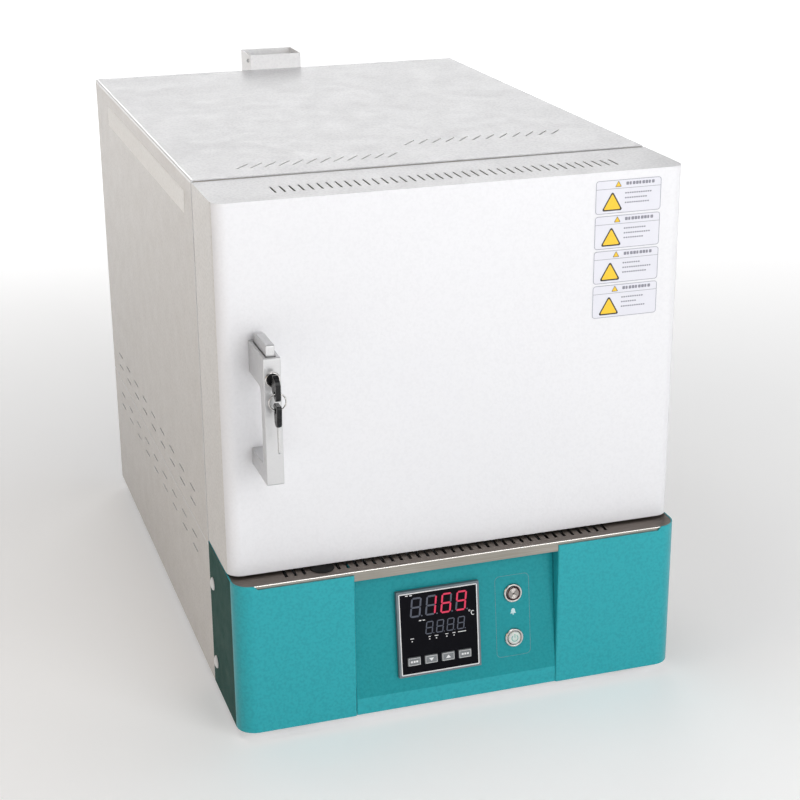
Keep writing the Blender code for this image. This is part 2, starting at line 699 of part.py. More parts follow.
def key_body(bm):
    """A cap whose face is a little smaller than its foot."""
    w, h = KEY_W / 2, KEY_H / 2
    foot = [(-w, -h), (w, -h), (w, h), (-w, h)]
    v = [bm.verts.new((x, 4 * u, z)) for x, z in foot]
    v += [bm.verts.new((x, 0.4 * u, z)) for x, z in foot]
    v += [bm.verts.new((x * 0.93, 0, z * 0.9)) for x, z in foot]
    bm.faces.new(v[:4])
    bm.faces.new(v[8:])
    for base in (0, 4):
        for i in range(4):
            j = (i + 1) % 4
            bm.faces.new((v[base + i], v[base + j], v[base + 4 + j], v[base + 4 + i]))


for number, x in enumerate(KEY_XS, 1):
    axis = Frame("key_%d_axis" % number, on_panel(x, -7 * u, KEY_Z), BODY, tilt=-TILT)
    make("controller_key_%d" % number, key_body, "grey_plastic", axis, local=True)


def button_bezel(bm, z):
    lathe(
        bm,
        [(0, 19 * u), (8 * u, 19 * u), (8 * u, -1.6 * u), (8.8 * u, -2.6 * u), (10.2 * u, -2.6 * u), (BUTTON_R, -1.6 * u), (BUTTON_R, -GAP), (9.3 * u, -GAP), (9.3 * u, 24 * u), (0, 24 * u)],
        (BUTTON_X, 0, z),
        "y",
        28,
    )


def button_cap(bm):
    lathe(bm, [(0, -3.4 * u), (6.2 * u, -3.4 * u), (7.5 * u, -2.4 * u), (7.5 * u, 9 * u), (0, 9 * u)], (0, 0, 0), "y", 28)


for label, dz, cap_mat in (("alarm", ALARM_DZ, "stainless"), ("power", POWER_DZ, "white_plastic")):
    make(label + "_bezel", lambda bm: button_bezel(bm, dz), "chrome", PANEL, smooth=True, local=True)
    axis = Frame(label + "_axis", on_panel(BUTTON_X, 0, dz), BODY, tilt=-TILT)
    make(label + "_cap", button_cap, cap_mat, axis, smooth=True, local=True)


# ---------------------------------------------------------------- door
def door_outline(inset, back):
    x, y, r = W / 2 - inset, DOOR_FRONT + inset, DOOR_R - inset
    return [tuple(p) for p in rounded([(x, back), (x, y), (-x, y), (-x, back)], [r, r], 5)]


shell = make("door_shell", lambda bm: prism(bm, door_outline(0, DOOR_BACK), "z", DOOR_Z0, DOOR_Z1), "white_powder_coat", DOOR)
cut(shell, "hollow", lambda bm: prism(bm, door_outline(SHEET, DOOR_BACK + 10 * u), "z", DOOR_Z0 + SHEET, DOOR_Z1 - SHEET), DOOR)


def door_slots(bm):
    for k in range(DOOR_SLOTS):
        x = 3 * u + (k - (DOOR_SLOTS - 1) / 2) * DOOR_SLOT_PITCH
        box(bm, x - 1.1 * u, x + 1.1 * u, -76 * u, -49 * u, DOOR_Z1 - 8 * u, DOOR_Z1 + 5 * u)


cut(shell, "top_slots", door_slots, DOOR)

liner = make(
    "door_liner",
    lambda bm: box(bm, -W / 2 + SHEET + GAP, W / 2 - SHEET - GAP, DOOR_BACK - SHEET, DOOR_BACK, DOOR_Z0 + SHEET + GAP, DOOR_Z1 - SHEET - GAP),
    "stainless",
    DOOR,
)
cut(liner, "latch_slot", lambda bm: box(bm, HANDLE_X - 5 * u, HANDLE_X + 5 * u, -12 * u, 5 * u, 396 * u, 423 * u), DOOR)

make(
    "door_insulation",
    lambda bm: box(bm, -192 * u, W / 2 - 8 * u, DOOR_FRONT + 4 * u, DOOR_BACK - SHEET - GAP, DOOR_Z0 + 2 * u, DOOR_Z1 - 22 * u),
    "ceramic_fibre",
    DOOR,
)


def door_plug(bm):
    """A block that narrows towards the chamber."""
    y0, y1, y2 = DOOR_BACK + GAP, 22 * u, 38 * u
    rings = []
    for y, less in ((y0, 0), (y1, 0), (y2, 9 * u)):
        x, z0, z1 = 144 * u - less, 259 * u + less, 497 * u - less
        rings.append([bm.verts.new(p) for p in ((-x, y, z0), (x, y, z0), (x, y, z1), (-x, y, z1))])
    bm.faces.new(rings[0])
    bm.faces.new(rings[2])
    for a, b in ((0, 1), (1, 2)):
        for i in range(4):
            j = (i + 1) % 4
            bm.faces.new((rings[a][i], rings[a][j], rings[b][j], rings[b][i]))


make("door_plug", door_plug, "ceramic_fibre", DOOR)
seal = make("door_seal", lambda bm: box(bm, -176 * u, 176 * u, DOOR_BACK + GAP, -GAP, 227 * u, 529 * u), "ceramic_fibre", DOOR)
cut(seal, "opening", lambda bm: box(bm, -164 * u, 164 * u, -12 * u, 8 * u, 239 * u, 517 * u), DOOR)


# hinges: the cabinet half carries the pin, the door half drops over it
def hinge_fixed(bm, z):
    box(bm, W / 2 + GAP, W / 2 + GAP + 2 * u, 5 * u, 30 * u, z - HINGE_HALF, z + HINGE_HALF)


def hinge_fixed_tab(bm, z):
    box(bm, W / 2 + GAP, W / 2 + GAP + 2 * u, HINGE_Y, 6 * u, z - HINGE_HALF, z - 0.5 * u)


def hinge_fixed_barrel(bm, z):
    lathe(
        bm,
        [(0, z - HINGE_HALF), (HINGE_R, z - HINGE_HALF), (HINGE_R, z - 0.5 * u), (HINGE_PIN_R, z - 0.5 * u), (HINGE_PIN_R, z + 24 * u), (0, z + 24 * u)],
        (HINGE_X, HINGE_Y, 0),
        "z",
        20,
    )


def hinge_door(bm, z):
    box(bm, W / 2 + GAP, W / 2 + GAP + 2 * u, -33 * u, -8 * u, z - HINGE_HALF, z + HINGE_HALF)


def hinge_door_tab(bm, z):
    box(bm, W / 2 + GAP, W / 2 + GAP + 2 * u, -9 * u, HINGE_Y, z + 0.5 * u, z + HINGE_HALF)


def hinge_door_barrel(bm, z):
    solid_round(bm, HINGE_R, (HINGE_X, HINGE_Y, 0), "z", z + 0.5 * u, z + HINGE_HALF, 20)


def hinge_door_bore(bm, z):
    solid_round(bm, HINGE_PIN_R + 0.3 * u, (HINGE_X, HINGE_Y, 0), "z", z - 10 * u, z + 25 * u, 20)


for label, z in (("bottom", HINGE_Z[0]), ("top", HINGE_Z[1])):
    fixed = make("hinge_" + label + "_fixed", lambda bm: hinge_fixed(bm, z), "plain_steel")
    fuse(fixed, "tab", lambda bm: hinge_fixed_tab(bm, z))
    fuse(fixed, "barrel", lambda bm: hinge_fixed_barrel(bm, z))
    swung = make("hinge_" + label + "_door", lambda bm: hinge_door(bm, z), "plain_steel", DOOR)
    fuse(swung, "tab", lambda bm: hinge_door_tab(bm, z), DOOR)
    fuse(swung, "barrel", lambda bm: hinge_door_barrel(bm, z), DOOR)
    cut(swung, "bore", lambda bm: hinge_door_bore(bm, z), DOOR)


# ---------------------------------------------------------------- handle, latch and keys
def handle(bm):
    wall = DOOR_FRONT - GAP
    f, g = HANDLE_FRONT, GRIP_BACK
    path = [Vector((wall, 323 * u))]
    path = rounded([(wall, 323 * u), (g, 323 * u), (g, 406 * u), (wall, 406 * u)], [5 * u, 9 * u], 4)
    outer = rounded([(wall, HANDLE_Z1), (f, HANDLE_Z1), (f, HANDLE_Z0), (wall, HANDLE_Z0)], [1.5 * u, 1.5 * u], 2)
    prism(bm, [tuple(p) for p in path] + [tuple(p) for p in outer], "x", HANDLE_X - HANDLE_W / 2, HANDLE_X + HANDLE_W / 2)


grip = make("door_handle", handle, "die_cast", DOOR)
cut(grip, "thumb_slot", lambda bm: box(bm, HANDLE_X - 5 * u, HANDLE_X + 5 * u, -165.7 * u, -109 * u, 426.4 * u, HANDLE_Z1 + 5 * u), DOOR)
cut(grip, "lock_bore", lambda bm: solid_round(bm, 6.8 * u, (HANDLE_X, 0, LOCK_Z), "y", -174 * u, -140 * u, 24), DOOR)

make(
    "lock_barrel",
    lambda bm: lathe(
        bm,
        [(5 * u, -169.5 * u), (6.3 * u, -169.5 * u), (6.3 * u, -170.6 * u), (7.2 * u, -170.6 * u), (7.8 * u, -170 * u), (7.8 * u, -168.8 * u), (6.5 * u, -168.8 * u), (6.5 * u, -142 * u), (5 * u, -142 * u)],
        (HANDLE_X, 0, LOCK_Z),
        "y",
        24,
    ),
    "chrome",
    DOOR,
    smooth=True,
)

THUMB = Frame("thumb_pivot", THUMB_PIVOT, DOOR)


def thumb_lever(bm):
    points = [(-112, 431), (-112, 449.8), (-118, 449.8), (-120, 448), (-124, 451.5), (-161.5, 451.5), (-163, 450.4), (-163, 437)]
    prism(bm, [(y * u, z * u) for y, z in points], "x", HANDLE_X - 4.5 * u, HANDLE_X + 4.5 * u)


make("thumb_lever", thumb_lever, "die_cast", THUMB)

LATCH = Frame("latch_pivot", (HANDLE_X, -60 * u, 410 * u), DOOR)


def latch_hook(bm):
    """A flat arm along y; its nose hangs behind the front sheet, level with the lower edge of the slot there."""
    points = [(-68, 404), (2.3, 404), (2.3, 398.6), (5.5, 398.6), (10, 404.5), (10, 411), (-50, 417), (-68, 417)]
    prism(bm, [(y * u, z * u) for y, z in points], "x", HANDLE_X - 3 * u, HANDLE_X + 3 * u)


hook = make("latch_hook", latch_hook, "plain_steel", LATCH)
cut(hook, "pivot_hole", lambda bm: solid_round(bm, 3 * u, (0, -60 * u, 410 * u), "x", HANDLE_X - 8 * u, HANDLE_X + 8 * u, 16), LATCH)

LOCK = Frame("lock_axis", (HANDLE_X, HANDLE_FRONT, LOCK_Z), DOOR)


def bow(bm, points, half):
    prism(bm, [(y * u, z * u) for y, z in points], "x", HANDLE_X - half, HANDLE_X + half)


key = make(
    "door_key",
    lambda bm: bow(bm, [(-174, 413), (-176.5, 408), (-186, 401.5), (-190, 402), (-192, 404.5), (-192, 418.5), (-190, 422), (-181, 426), (-176.5, 425), (-174, 421.5)], 2.5 * u),
    "black_plastic",
    LOCK,
)
fuse(key, "rotor", lambda bm: lathe(bm, [(0, -171.5 * u), (5.6 * u, -171.5 * u), (6 * u, -171 * u), (6 * u, -169.8 * u), (4.7 * u, -169.8 * u), (4.7 * u, -143 * u), (0, -143 * u)], (HANDLE_X, 0, LOCK_Z), "y", 20), LOCK)
fuse(key, "shank", lambda bm: box(bm, HANDLE_X - 1.2 * u, HANDLE_X + 1.2 * u, -177.5 * u, -170 * u, LOCK_Z - 3.4 * u, LOCK_Z + 3.4 * u), LOCK)
cut(key, "eye", lambda bm: solid_round(bm, 3 * u, (0, RING_Y, RING_TOP), "x", HANDLE_X - 10 * u, HANDLE_X + 10 * u, 14), LOCK)

RING = Frame("ring_pivot", (HANDLE_X, RING_Y, RING_TOP), LOCK)
make("key_ring", lambda bm: torus(bm, (HANDLE_X, RING_Y, RING_TOP - RING_R), RING_R, RING_WIRE), "chrome", RING, smooth=True)

SPARE = Frame("spare_key_pivot", (HANDLE_X, RING_Y, RING_TOP - 2 * RING_R), RING)
spare = make(
    "spare_key",
    lambda bm: bow(bm, [(-193, 397.5), (-194.5, 395), (-192.5, 378), (-190, 375), (-184, 375), (-181.5, 378), (-179.5, 395), (-181, 397.5)], 2.5 * u),
    "black_plastic",
    SPARE,
)
fuse(spare, "blade", lambda bm: prism(bm, [(y * u, z * u) for y, z in ((-190, 377), (-190, 348), (-187.5, 345.6), (-184.4, 348.5), (-186, 351.5), (-184.4, 354), (-186.4, 357), (-184.4, 360), (-185.6, 363), (-184.4, 366), (-184.4, 377))], "x", HANDLE_X - 1 * u, HANDLE_X + 1 * u), SPARE)
cut(spare, "eye", lambda bm: solid_round(bm, 3 * u, (0, RING_Y, RING_TOP - 2 * RING_R), "x", HANDLE_X - 10 * u, HANDLE_X + 10 * u, 14), SPARE)
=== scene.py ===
"""Looks of the bench-top chamber kiln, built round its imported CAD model.

Lengths below are millimetres in the cabinet's own frame: x = 0 on the cabinet's
middle plane, y = 0 on its front face, z = 0 on the underside of its base.
The CAD nodes' boxes say where that frame is.
"""

import json
import math

import bmesh
import bpy
from mathutils import Matrix, Vector

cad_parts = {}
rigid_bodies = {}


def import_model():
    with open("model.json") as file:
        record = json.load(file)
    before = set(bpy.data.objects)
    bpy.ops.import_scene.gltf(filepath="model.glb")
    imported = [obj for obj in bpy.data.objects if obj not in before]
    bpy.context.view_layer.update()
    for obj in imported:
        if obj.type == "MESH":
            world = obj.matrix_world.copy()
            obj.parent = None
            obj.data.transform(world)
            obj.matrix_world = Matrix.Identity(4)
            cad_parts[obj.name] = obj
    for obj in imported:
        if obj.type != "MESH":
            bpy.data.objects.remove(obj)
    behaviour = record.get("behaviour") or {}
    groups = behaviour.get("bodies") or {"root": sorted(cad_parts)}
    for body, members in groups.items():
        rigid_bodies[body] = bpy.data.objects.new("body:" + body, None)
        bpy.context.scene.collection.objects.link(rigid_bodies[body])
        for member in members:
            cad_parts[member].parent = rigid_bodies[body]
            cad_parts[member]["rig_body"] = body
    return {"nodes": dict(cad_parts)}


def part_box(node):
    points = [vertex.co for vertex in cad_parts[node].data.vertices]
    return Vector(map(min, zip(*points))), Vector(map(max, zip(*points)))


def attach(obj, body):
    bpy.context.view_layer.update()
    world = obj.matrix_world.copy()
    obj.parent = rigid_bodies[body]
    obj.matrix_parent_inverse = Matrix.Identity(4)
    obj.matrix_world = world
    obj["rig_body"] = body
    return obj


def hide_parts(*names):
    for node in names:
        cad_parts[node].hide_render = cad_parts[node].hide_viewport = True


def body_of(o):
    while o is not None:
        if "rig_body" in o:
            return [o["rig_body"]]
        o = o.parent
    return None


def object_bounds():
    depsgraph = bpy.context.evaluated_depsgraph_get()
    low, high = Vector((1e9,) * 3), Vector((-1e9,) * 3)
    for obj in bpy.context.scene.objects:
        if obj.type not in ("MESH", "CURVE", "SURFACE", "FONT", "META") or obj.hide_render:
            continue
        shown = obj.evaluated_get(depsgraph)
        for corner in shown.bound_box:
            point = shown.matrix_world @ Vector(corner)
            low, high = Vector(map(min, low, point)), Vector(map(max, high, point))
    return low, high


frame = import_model()
CAD_LO, CAD_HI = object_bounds()

MM = 0.001
COVER_LO, COVER_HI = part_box("upper_cover")
ORIGIN = Vector(((COVER_LO.x + COVER_HI.x) / 2, COVER_LO.y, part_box("base_pan")[0].z))
CABINET = Matrix.Translation(ORIGIN) @ Matrix.Scale(MM, 4)
HALF_W = (COVER_HI.x - COVER_LO.x) / 2 / MM
DEPTH = (COVER_HI.y - COVER_LO.y) / MM
HEIGHT = (COVER_HI.z - ORIGIN.z) / MM


def local_box(node):
    """A CAD node's box in the cabinet frame, in millimetres."""
    lo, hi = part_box(node)
    return (lo - ORIGIN) / MM, (hi - ORIGIN) / MM


DOOR_FRONT = local_box("door_shell")[0].y
TILT = math.atan(0.118)
PANEL = CABINET @ Matrix.Translation((0, -129.2 + 68 * 0.118, 88)) @ Matrix.Rotation(-TILT, 4, "X")


# ---------------------------------------------------------------- materials
class Finish:
    """A node material.  Constant values sit on the shader's own sockets; the rest is noise in object space."""

    def __init__(self, name, colour, rough, metal=0.0, **sockets):
        self.made = bpy.data.materials.new(name)
        self.made.use_nodes = True
        self.tree = self.made.node_tree
        self.shader = self.tree.nodes["Principled BSDF"]
        self.colour = (*colour, 1.0)
        self.shader.inputs["Base Color"].default_value = self.colour
        self.shader.inputs["Roughness"].default_value = rough
        self.shader.inputs["Metallic"].default_value = metal
        for key, value in sockets.items():
            self.shader.inputs[key.replace("_", " ")].default_value = value
        self.coord = self.tree.nodes.new("ShaderNodeTexCoord").outputs["Object"]
        self.last_bump = None
        self.last_colour = None

    def link(self, a, b):
        self.tree.links.new(a, b)

    def noise(self, scale, detail=3.0, rough=0.55, stretch=(1, 1, 1), distort=0.0):
        place = self.tree.nodes.new("ShaderNodeMapping")
        place.inputs["Scale"].default_value = stretch
        self.link(self.coord, place.inputs["Vector"])
        made = self.tree.nodes.new("ShaderNodeTexNoise")
        made.inputs["Scale"].default_value = scale
        made.inputs["Detail"].default_value = detail
        made.inputs["Roughness"].default_value = rough
        made.inputs["Distortion"].default_value = distort
        self.link(place.outputs[0], made.inputs["Vector"])
        return made.outputs[0]

    def cells(self, scale, stretch=(1, 1, 1)):
        place = self.tree.nodes.new("ShaderNodeMapping")
        place.inputs["Scale"].default_value = stretch
        self.link(self.coord, place.inputs["Vector"])
        made = self.tree.nodes.new("ShaderNodeTexVoronoi")
        made.inputs["Scale"].default_value = scale
        self.link(place.outputs[0], made.inputs["Vector"])
        return made.outputs["Distance"]

    def span(self, value, lo, hi, to_lo=0.0, to_hi=1.0):
        made = self.tree.nodes.new("ShaderNodeMapRange")
        for key, number in zip(("From Min", "From Max", "To Min", "To Max"), (lo, hi, to_lo, to_hi)):
            made.inputs[key].default_value = number
        self.link(value, made.inputs["Value"])
        return made.outputs[0]

    def tint(self, fac, other):
        """Blends the colour so far towards another by fac."""
        made = self.tree.nodes.new("ShaderNodeMix")
        made.data_type = "RGBA"
        self.link(fac, made.inputs["Factor"])
        if self.last_colour is None:
            made.inputs[6].default_value = self.colour
        else:
            self.link(self.last_colour, made.inputs[6])
        made.inputs[7].default_value = (*other, 1.0)
        self.last_colour = made.outputs[2]
        self.link(self.last_colour, self.shader.inputs["Base Color"])
        return self

    def rough(self, value, lo, hi, to_lo, to_hi):
        self.link(self.span(value, lo, hi, to_lo, to_hi), self.shader.inputs["Roughness"])
        return self

    def bump(self, value, distance, strength=1.0):
        made = self.tree.nodes.new("ShaderNodeBump")
        made.inputs["Strength"].default_value = strength
        made.inputs["Distance"].default_value = distance
        self.link(value, made.inputs["Height"])
        if self.last_bump is not None:
            self.link(self.last_bump, made.inputs["Normal"])
        self.last_bump = made.outputs[0]
        self.link(self.last_bump, self.shader.inputs["Normal"])
        return self


def powder_coat(name, colour, shade, rough, peel, coat=0.0, grain=0.8):
    """Stoved powder paint: orange peel, a faint mottle and slightly uneven gloss."""
    made = Finish(name, colour, rough, Coat_Weight=coat, Coat_Roughness=0.2)
    made.tint(made.span(made.noise(5, 3, 0.5), 0.35, 0.7, 0.0, 0.15), shade)
    made.tint(made.span(made.noise(330, 2, 0.5), 0.42, 0.66, 0.0, grain), shade)
    made.rough(made.noise(38, 4, 0.6), 0.3, 0.7, rough - 0.05, rough + 0.07)
    made.bump(made.noise(380, 2.0, 0.45), 0.00022 * peel, 0.9)
    made.bump(made.noise(1300, 2.0, 0.5), 0.00006 * peel, 0.6)
    return made


white = powder_coat("white_powder_coat", (0.81, 0.81, 0.825), (0.67, 0.67, 0.69), 0.36, 1.0, 0.1)
# the door's side faces take this copy of the white coat, darker and warmer: painted shade
white_side_painted_shade = powder_coat("white_side_coat", (0.695, 0.675, 0.65), (0.575, 0.558, 0.535), 0.36, 1.0, 0.1)
# the flat side faces of the cover and lower sides take this copy, darker still: painted shade
white_sheet_painted_shade = powder_coat("white_sheet_side_coat", (0.605, 0.58, 0.55), (0.52, 0.497, 0.47), 0.36, 1.0, 0.1)
# the folded hems take this copy: glossier, and painted paler as a highlight
white_hem_painted_highlight = powder_coat("white_folded_edge_painted_highlight_coat", (0.97, 0.97, 0.975), (0.92, 0.92, 0.93), 0.22, 0.3, 0.6, 0.2)
# the door's front takes this copy: finer grain, and darker as painted shade
white_front_painted_shade = powder_coat("white_front_coat", (0.765, 0.765, 0.785), (0.70, 0.70, 0.72), 0.34, 0.5, 0.1, 0.35)
teal = powder_coat("teal_powder_coat", (0.018, 0.36, 0.41), (0.013, 0.305, 0.35), 0.33, 0.7, 0.1)
# the sloped control panel takes this darker copy of the teal: painted shade in the recess
teal_panel_painted_shade = powder_coat("teal_panel_coat", (0.013, 0.285, 0.32), (0.009, 0.245, 0.275), 0.33, 0.7, 0.1)
# the base blocks' outer side faces take this dark copy of the teal: painted shade
teal_side_painted_shade = powder_coat("teal_flange_painted_shade_coat", (0.010, 0.072, 0.058), (0.007, 0.056, 0.045), 0.5, 0.7)
for paint, level in ((teal, 0.3), (teal_panel_painted_shade, 0.15), (teal_side_painted_shade, 0.05)):
    paint.shader.inputs["Specular IOR Level"].default_value = level
duct_white = powder_coat("white_duct_coat", (0.97, 0.97, 0.975), (0.90, 0.90, 0.91), 0.36, 1.0)
# the louvre ribs take a paler white than the side sheets they sit on: painted highlight for the light they catch
band = powder_coat("white_louvre_painted_highlight", (0.86, 0.85, 0.83), (0.79, 0.78, 0.76), 0.4, 0.5)

stainless = Finish("brushed_stainless", (0.37, 0.345, 0.305), 0.34, 1.0, Anisotropic=0.5)
stainless.tint(stainless.span(stainless.noise(9, 4), 0.35, 0.7, 0.0, 0.6), (0.26, 0.25, 0.21))
stainless.tint(stainless.span(stainless.noise(900, 2, 0.5, (0.02, 1, 1)), 0.4, 0.8, 0.0, 0.5), (0.52, 0.48, 0.45))
stainless.rough(stainless.noise(700, 3, 0.6, (0.02, 1, 1)), 0.3, 0.7, 0.26, 0.44)
stainless.bump(stainless.noise(1500, 2, 0.5, (0.015, 1, 1)), 0.00004, 0.5)

# the ledge's top takes this darkened stainless: painted shade from the door above it
ledge_top_painted_shade = Finish("ledge_top_stainless", (0.185, 0.155, 0.135), 0.42, 0.9)
ledge_top_painted_shade.tint(ledge_top_painted_shade.span(ledge_top_painted_shade.noise(11, 4), 0.35, 0.7, 0.0, 0.6), (0.15, 0.125, 0.11))
ledge_top_painted_shade.tint(ledge_top_painted_shade.span(ledge_top_painted_shade.noise(900, 2, 0.5, (0.02, 1, 1)), 0.4, 0.8, 0.0, 0.5), (0.26, 0.225, 0.20))
ledge_top_painted_shade.rough(ledge_top_painted_shade.noise(700, 3, 0.6, (0.02, 1, 1)), 0.3, 0.7, 0.34, 0.52)
ledge_top_painted_shade.bump(ledge_top_painted_shade.noise(1500, 2, 0.5, (0.015, 1, 1)), 0.00004, 0.5)

# the ledge's rounded front edge takes this pale, smooth stainless: a painted highlight along the bead
ledge_bead_painted_highlight = Finish("polished_edge_stainless_painted_highlight", (0.86, 0.84, 0.80), 0.22, 0.9)
ledge_bead_painted_highlight.tint(ledge_bead_painted_highlight.span(ledge_bead_painted_highlight.noise(400, 3, 0.6, (0.05, 1, 1)), 0.4, 0.8, 0.0, 0.5), (0.66, 0.63, 0.60))
ledge_bead_painted_highlight.rough(ledge_bead_painted_highlight.noise(500, 3, 0.6, (0.05, 1, 1)), 0.3, 0.7, 0.16, 0.3)

heated = Finish("heat_tinted_stainless", (0.55, 0.53, 0.5), 0.3, 1.0)
heated.tint(heated.span(heated.noise(6, 5, 0.6), 0.45, 0.75, 0.0, 0.75), (0.46, 0.36, 0.24))
heated.tint(heated.span(heated.noise(15, 5, 0.6), 0.55, 0.8, 0.0, 0.5), (0.3, 0.32, 0.42))
heated.rough(heated.noise(600, 3, 0.6, (0.03, 1, 1)), 0.3, 0.7, 0.24, 0.42)
heated.bump(heated.noise(1400, 2, 0.5, (0.02, 1, 1)), 0.00003, 0.5)

zinc = Finish("zinc_plated_steel", (0.56, 0.57, 0.58), 0.36, 1.0)
zinc.tint(zinc.span(zinc.cells(60), 0.1, 0.6, 0.0, 0.5), (0.44, 0.45, 0.47))
zinc.rough(zinc.noise(90, 4), 0.3, 0.7, 0.3, 0.48)
zinc.bump(zinc.noise(700, 3), 0.00003, 0.5)

die_cast = Finish("satin_die_cast", (0.60, 0.60, 0.605), 0.36, 0.8)
die_cast.tint(die_cast.span(die_cast.noise(1600, 2), 0.35, 0.75, 0.0, 0.55), (0.51, 0.51, 0.515))
die_cast.rough(die_cast.noise(220, 4), 0.3, 0.7, 0.29, 0.42)
die_cast.bump(die_cast.noise(2600, 2), 0.00005, 0.6)

chrome = Finish("polished_chrome", (0.60, 0.585, 0.57), 0.12, 1.0)
chrome.tint(chrome.span(chrome.noise(500, 3), 0.4, 0.8, 0.0, 0.4), (0.46, 0.445, 0.43))
chrome.rough(chrome.noise(300, 4), 0.3, 0.7, 0.08, 0.22)

turned = Finish("turned_steel", (0.62, 0.62, 0.62), 0.3, 1.0, Anisotropic=0.4)
turned.tint(turned.span(turned.noise(2500, 2), 0.4, 0.8, 0.0, 0.5), (0.45, 0.44, 0.43))
turned.rough(turned.noise(900, 3), 0.3, 0.7, 0.24, 0.4)
turned.bump(turned.noise(3000, 2), 0.00002, 0.5)

spun = Finish("spun_steel_face", (0.34, 0.315, 0.30), 0.24, 1.0)
spun.tint(spun.span(spun.noise(1800, 2), 0.4, 0.8, 0.0, 0.5), (0.24, 0.225, 0.215))
spun.rough(spun.noise(900, 3), 0.3, 0.7, 0.18, 0.34)

black = Finish("black_moulded_plastic", (0.014, 0.014, 0.016), 0.34)
black.tint(black.span(black.noise(60, 4), 0.4, 0.8, 0.0, 0.6), (0.03, 0.03, 0.032))
black.rough(black.noise(130, 4), 0.3, 0.7, 0.28, 0.48)
black.bump(black.noise(2200, 2), 0.00004, 0.6)

key_black = Finish("black_key_head", (0.006, 0.006, 0.007), 0.24, Specular_IOR_Level=0.25)
key_black.tint(key_black.span(key_black.noise(80, 4), 0.4, 0.8, 0.0, 0.6), (0.013, 0.013, 0.014))
key_black.rough(key_black.noise(160, 4), 0.3, 0.7, 0.2, 0.34)
key_black.bump(key_black.noise(2200, 2), 0.00003, 0.6)

bezel_grey = Finish("grey_bezel_plastic", (0.13, 0.16, 0.18), 0.45)
bezel_grey.tint(bezel_grey.span(bezel_grey.noise(90, 4), 0.4, 0.8, 0.0, 0.6), (0.18, 0.21, 0.235))
bezel_grey.rough(bezel_grey.noise(150, 3), 0.3, 0.7, 0.38, 0.52)
bezel_grey.bump(bezel_grey.noise(2200, 2), 0.00004, 0.6)

key_grey = Finish("grey_key_rubber", (0.17, 0.18, 0.19), 0.5)
key_grey.tint(key_grey.span(key_grey.noise(700, 3), 0.4, 0.8, 0.0, 0.6), (0.22, 0.23, 0.24))
key_grey.rough(key_grey.noise(200, 3), 0.3, 0.7, 0.42, 0.58)
key_grey.bump(key_grey.noise(3000, 2), 0.00003, 0.6)

window = Finish("smoked_window", (0.004, 0.004, 0.006), 0.1, Specular_IOR_Level=0.05)
window.tint(window.span(window.noise(40, 5, 0.7), 0.5, 0.85, 0.0, 0.5), (0.01, 0.01, 0.014))
window.rough(window.noise(70, 5, 0.7), 0.35, 0.75, 0.07, 0.2)

rubber = Finish("black_rubber", (0.012, 0.012, 0.012), 0.75, Specular_IOR_Level=0.15)
rubber.tint(rubber.span(rubber.noise(80, 5), 0.4, 0.8, 0.0, 0.7), (0.024, 0.0235, 0.022))
rubber.rough(rubber.noise(120, 4), 0.3, 0.7, 0.66, 0.86)
rubber.bump(rubber.noise(1500, 3), 0.00006, 0.7)

milky = Finish("milky_lens", (0.62, 0.66, 0.63), 0.26, Subsurface_Weight=0.2, Subsurface_Scale=0.002)
milky.tint(milky.span(milky.noise(400, 3), 0.4, 0.8, 0.0, 0.5), (0.52, 0.57, 0.54))
milky.rough(milky.noise(200, 3), 0.3, 0.7, 0.24, 0.38)

cap_white = Finish("white_cap_plastic", (0.78, 0.78, 0.79), 0.35)
cap_white.tint(cap_white.span(cap_white.noise(300, 3), 0.4, 0.8, 0.0, 0.5), (0.68, 0.68, 0.69))
cap_white.rough(cap_white.noise(200, 3), 0.3, 0.7, 0.28, 0.42)
cap_white.bump(cap_white.noise(1500, 2), 0.00003, 0.5)

fibre = Finish("ceramic_fibre_board", (0.76, 0.74, 0.69), 0.95)
fibre.tint(fibre.span(fibre.noise(14, 6, 0.65), 0.45, 0.75, 0.0, 0.6), (0.62, 0.54, 0.42))
fibre.tint(fibre.span(fibre.noise(900, 3, 0.6, (1, 1, 0.35)), 0.45, 0.8, 0.0, 0.5), (0.55, 0.53, 0.48))
fibre.rough(fibre.noise(200, 4), 0.3, 0.7, 0.88, 1.0)
fibre.bump(fibre.noise(220, 6, 0.7), 0.0008, 0.8)
fibre.bump(fibre.noise(1400, 4, 0.6, (1, 1, 0.3)), 0.0002, 0.8)

fired = Finish("fired_muffle_ceramic", (0.66, 0.58, 0.47), 0.85)
fired.tint(fired.span(fired.noise(9, 6, 0.65), 0.42, 0.72, 0.0, 0.8), (0.5, 0.38, 0.27))
fired.tint(fired.span(fired.cells(260), 0.0, 0.25, 0.6, 0.0), (0.36, 0.29, 0.22))
fired.rough(fired.noise(90, 4), 0.3, 0.7, 0.78, 0.95)
fired.bump(fired.cells(260), 0.0004, 0.6)
fired.bump(fired.noise(900, 4), 0.00015, 0.8)

carbide = Finish("silicon_carbide_plate", (0.085, 0.087, 0.09), 0.75)
carbide.tint(carbide.span(carbide.noise(1200, 3), 0.5, 0.75, 0.0, 0.8), (0.24, 0.24, 0.25))
carbide.tint(carbide.span(carbide.noise(12, 5), 0.5, 0.75, 0.0, 0.5), (0.2, 0.16, 0.12))
carbide.rough(carbide.noise(500, 4), 0.3, 0.7, 0.55, 0.9)
carbide.bump(carbide.noise(900, 4), 0.00025, 0.8)

alloy = Finish("oxidised_element", (0.20, 0.165, 0.14), 0.55, 0.7)
alloy.tint(alloy.span(alloy.noise(60, 5), 0.4, 0.75, 0.0, 0.8), (0.10, 0.085, 0.08))
alloy.rough(alloy.noise(300, 4), 0.3, 0.7, 0.45, 0.75)
alloy.bump(alloy.noise(1400, 4), 0.00012, 0.8)

